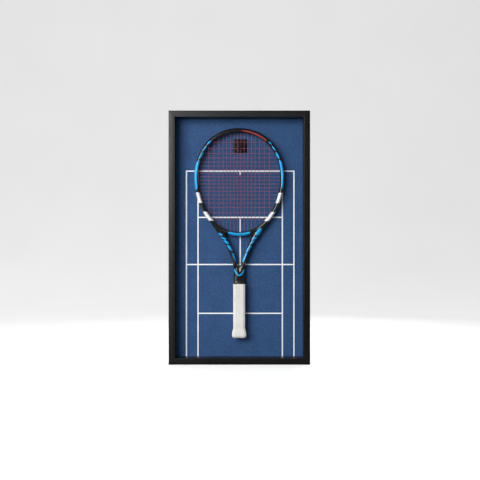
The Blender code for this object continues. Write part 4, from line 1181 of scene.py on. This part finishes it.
def rounded_turns(runs):
    """Join runs into one path that turns back at each end, with eased corners."""
    path = []
    for number, run in enumerate(runs):
        path += run[::-1] if number % 2 else run
    ease, nearly_straight = 1.4 * MM, -0.6
    turned = path[:1]
    for before, point, after in zip(path, path[1:], path[2:]):
        back, ahead = before - point, after - point
        if back.normalized().dot(ahead.normalized()) > nearly_straight:
            reach = min(ease, back.length / 2, ahead.length / 2)
            start, end = point + back.normalized() * reach, point + ahead.normalized() * reach
            turned += [start, (start + end + point * 2) / 4, end]
        else:
            turned.append(point)
    return turned + path[-1:]


def make_strings():
    """Both strings, woven over and under each other and turned back in the hoop's groove."""
    for runs, name in zip(string_runs(), ("main_string", "cross_string")):
        path = [world((p.x, p.z), p.y) for p in rounded_turns(runs)]
        make(f"{name}_woven", Shape().tube(path, circle(STRING_RADIUS, 8)), name, "racket",
             [name], 60)


def make_grommets():
    """A small barrel round each string where it leaves the hoop's inner side."""
    profile = ((-3.0, 1.35), (-0.6, 1.35), (-0.4, 1.75), (0.5, 1.7), (0.75, 1.3), (1.9, 1.15),
               (2.1, 0.95), (2.1, 0.75))
    shape = Shape()
    for x in MAINS:
        for span, way in ((LOWER, 1), (UPPER, -1)):
            centre = world((x, main_end(x, span, -BEAM_HALF)), STRING_PLANE)
            shape.lathe(centre, (0, 0, way), profile, 12)
    for z in CROSSES:
        for side, _ in SIDES:
            centre = world((side * cross_end(z, -BEAM_HALF), z), -STRING_PLANE)
            shape.lathe(centre, (-side, 0, 0), profile, 12)
    make("string_grommets", shape, "guard", "racket")


def make_bumper_guard():
    """The strip over the head's top, thin at both edges and ends."""
    steps, reach, half_count, half_sweep = 104, 52.0, 7, 60
    skin, thick = mm(0.12, 1.15)
    rings = []
    for k in range(steps + 1):
        around = -reach + 2 * reach * k / steps
        taper = min(1.0, (reach - abs(around)) / 4.0 + 0.35)
        ring = []
        for side, rise in ((1, 1.0), (-1, 0.0)):
            for n in range(-half_count, half_count + 1):
                a = radians(n * half_sweep / half_count) * side
                edge = 1 - (abs(n) / half_count) ** 3 * 0.75
                grow = skin + rise * edge * taper * thick
                point = hoop_at(radians(abs(around)), (BEAM_HALF + grow) * cos(a))
                ring.append(world((copysign(point.x, around), point.y),
                                  (BEAM_HALF_DEPTH + grow * 0.6) * sin(a)))
        rings.append(ring)
    make("bumper_guard_moulded", Shape().skin(rings), "guard", "racket", ["bumper_guard"], 50)


# Handle

GRIP_HALF, GRIP_HALF_DEPTH = 0.0194, 0.0165
BEVEL, BEVEL_FACING = 0.38, radians(60)
FLARE_HALF, FLARE_HALF_DEPTH = 0.0040, 0.0022
FLARE_HIGH, FLARE_LOW = 0.0355, 0.0130
# Wound grip: one turn's height, the plain ends, the seam's share of a turn, and depths in mm
WRAP_PITCH, PLAIN_END, SEAM = 0.0215, 0.0085, 0.045
SEAM_DEPTH, WRAP_HIGH, WRAP_FALL, PLAIN_DEPTH = 0.52, 0.06, 0.22, 0.1
CAP_EDGE = 0.0030
BUTT_RADIUS, BUTT_START = 0.0095, 0.0010


def flare(height):
    """Return how far the butt's flare has grown at a height, from 0 to 1."""
    t = min(max((FLARE_HIGH - height) / (FLARE_HIGH - FLARE_LOW), 0), 1)
    return t * t * (3 - 2 * t)


def butt_round(height):
    """Return how far the rounded butt end is drawn in at a height."""
    left = max(BUTT_START + BUTT_RADIUS - height, 0.0)
    return BUTT_RADIUS - sqrt(max(BUTT_RADIUS ** 2 - left ** 2, 0.0))


def handle_angles():
    """Return the directions of a ring's points, close together at the eight corners."""
    edge = GRIP_HALF - BEVEL * GRIP_HALF_DEPTH
    drop = (GRIP_HALF - edge) / tan(BEVEL_FACING)
    quarter = {0.0, 8.0, 16.0, 24.0, 42.5, 62.0, 72.0, 81.0}
    for corner in (atan2(GRIP_HALF_DEPTH - drop, GRIP_HALF), atan2(GRIP_HALF_DEPTH, edge)):
        quarter |= {degrees(corner) + way * step
                    for way in (-1, 1) for step in (0.6, 1.6, 3.2, 5.5)}
    half = sorted(quarter | {180 - a for a in quarter if a} | {90.0})
    return [radians(a) for a in half + [a + 180 for a in half]]


HANDLE_ANGLES = handle_angles()


def handle_radius(angle, half, deep, sharp=130):
    """Return the radius of a bevelled, softly cornered handle in a direction."""
    slant = (half - BEVEL * deep) * cos(BEVEL_FACING) + deep * sin(BEVEL_FACING)
    flats = ((0, half), (BEVEL_FACING, slant), (pi / 2, deep), (pi - BEVEL_FACING, slant))
    total = sum((abs(cos(angle - facing)) / distance) ** sharp for facing, distance in flats)
    return total ** (-1 / sharp)


def handle_ring(height, inset, relief=None):
    """Return a ring round the handle, drawn in by an inset and a relief that turns with it."""
    grown = flare(height)
    half = GRIP_HALF + FLARE_HALF * grown
    deep = GRIP_HALF_DEPTH + FLARE_HALF_DEPTH * grown
    ring = []
    for angle in HANDLE_ANGLES:
        radius = handle_radius(angle, half, deep) - inset
        if relief:
            radius -= relief(angle, height)
        ring.append(world((radius * cos(angle), height), radius * sin(angle)))
    return ring


def wrap_relief(angle, height):
    """Return how deep the wound grip lies under its highest point."""
    if height > GRIP_TOP - PLAIN_END:
        return 0.0
    if height < PLAIN_END:
        return PLAIN_DEPTH * MM
    turn = (height / WRAP_PITCH - angle / (2 * pi)) % 1.0
    if turn < SEAM:
        return SEAM_DEPTH * MM
    if turn < 2 * SEAM:
        return (SEAM_DEPTH - (SEAM_DEPTH - WRAP_HIGH) * (turn - SEAM) / SEAM) * MM
    return (WRAP_HIGH + WRAP_FALL * (turn - 2 * SEAM) / (1 - 2 * SEAM)) * MM


def make_grip_wrap():
    """The wound grip wrap, hollow over the pallet."""
    heights = [CAP_EDGE + 0.15 * MM, CAP_EDGE + 0.4 * MM]
    while heights[-1] < GRIP_TOP - 1.4 * MM:
        heights.append(heights[-1] + 0.8 * MM)
    drawn, inner = butt_round(CAP_EDGE), 1.7 * MM
    rings = [handle_ring(CAP_EDGE, drawn + inner), handle_ring(CAP_EDGE, drawn + 0.35 * MM)]
    rings += [handle_ring(z, butt_round(z), wrap_relief) for z in heights]
    rings += [handle_ring(GRIP_TOP - 0.3 * MM, 0.08 * MM), handle_ring(GRIP_TOP, 0.5 * MM)]
    rings += [handle_ring(z, inner)
              for z in (GRIP_TOP, *mm(60, 37, 32, 27, 22, 17, 12, 9))]
    make("grip_wrap_wound", Shape().skin(rings, closed=True), "grip", "racket", ["grip_wrap"], 50)


def make_butt_cap():
    """The butt cap, rounded and dished below, with its spigot inside the wrap."""
    rings = [handle_ring(BUTT_START + deep * MM, BUTT_RADIUS + inset * MM)
             for deep, inset in ((1.4, 5.0), (1.3, 2.4), (0.4, 1.3), (0.0, 0.8))]
    for height in (BUTT_START + z for z in mm(0.0, 0.2, 0.5, 0.9, 1.3, 1.6, 1.85)):
        rings.append(handle_ring(height, butt_round(height) + 0.12 * MM))
    drawn, inner = butt_round(CAP_EDGE), 2.0 * MM
    rings += [handle_ring(CAP_EDGE, drawn + 0.5 * MM), handle_ring(CAP_EDGE, drawn + inner),
              handle_ring(9.0 * MM, inner), handle_ring(26.0 * MM, inner)]
    make("butt_cap_moulded", Shape().skin(rings), "cap", "racket", ["butt_cap"], 35)


def make_collar():
    """The rubber band round the shaft above the wrap, with a raised lower edge."""
    low, high, roundness = GRIP_TOP + 0.3 * MM, GRIP_TOP + 9.3 * MM, 2 / 3.3
    rings = []
    for height, grow in ((low, -0.3), (low, 0.7), (low + 0.25 * MM, 0.95), (low + 2.2 * MM, 0.95),
                         (low + 2.5 * MM, 0.6), (high - 0.7 * MM, 0.5), (high - 0.2 * MM, 0.35),
                         (high, 0.1), (high, -0.3)):
        half, deep = SHAFT_HALF + grow * MM, SHAFT_HALF_DEPTH + grow * MM
        rings.append([world((half * signed_power(a, roundness), height),
                            deep * signed_power(b, roundness)) for a, b in circle(1.0, 96)])
    make("grip_collar_band", Shape().skin(rings, closed=True), "collar", "racket",
         ["grip_collar"], 50)


# Nodes that stay in view, by the start of their names
FINISHES = {"court_print": "card", "backing_board": "board", "back_panel": "hardboard",
            "handle_pallet": "foam", "hook_nut": "zinc", "corner_nail": "zinc",
            "mount_screw": "zinc"}


def dress_nodes():
    """Give the CAD nodes that stay in view their finishes."""
    for name, node in frame["nodes"].items():
        for start, key in FINISHES.items():
            if name.startswith(start):
                node.data.materials.clear()
                node.data.materials.append(MATERIALS[key])


def main():
    """Build everything."""
    make_backdrop()
    make_lights()
    make_world()
    make_camera()
    dress_nodes()
    make_rails()
    make_court_lines()
    make_turn_buttons()
    make_screws()
    for side, label in SIDES:
        make_hanger_strap(side, label)
        make_hanger_ring(side, label)
    make_bumpers()
    make_mount_plate()
    make_hook()
    make_racket_frame()
    make_strings()
    make_grommets()
    make_bumper_guard()
    make_grip_wrap()
    make_butt_cap()
    make_collar()


main()
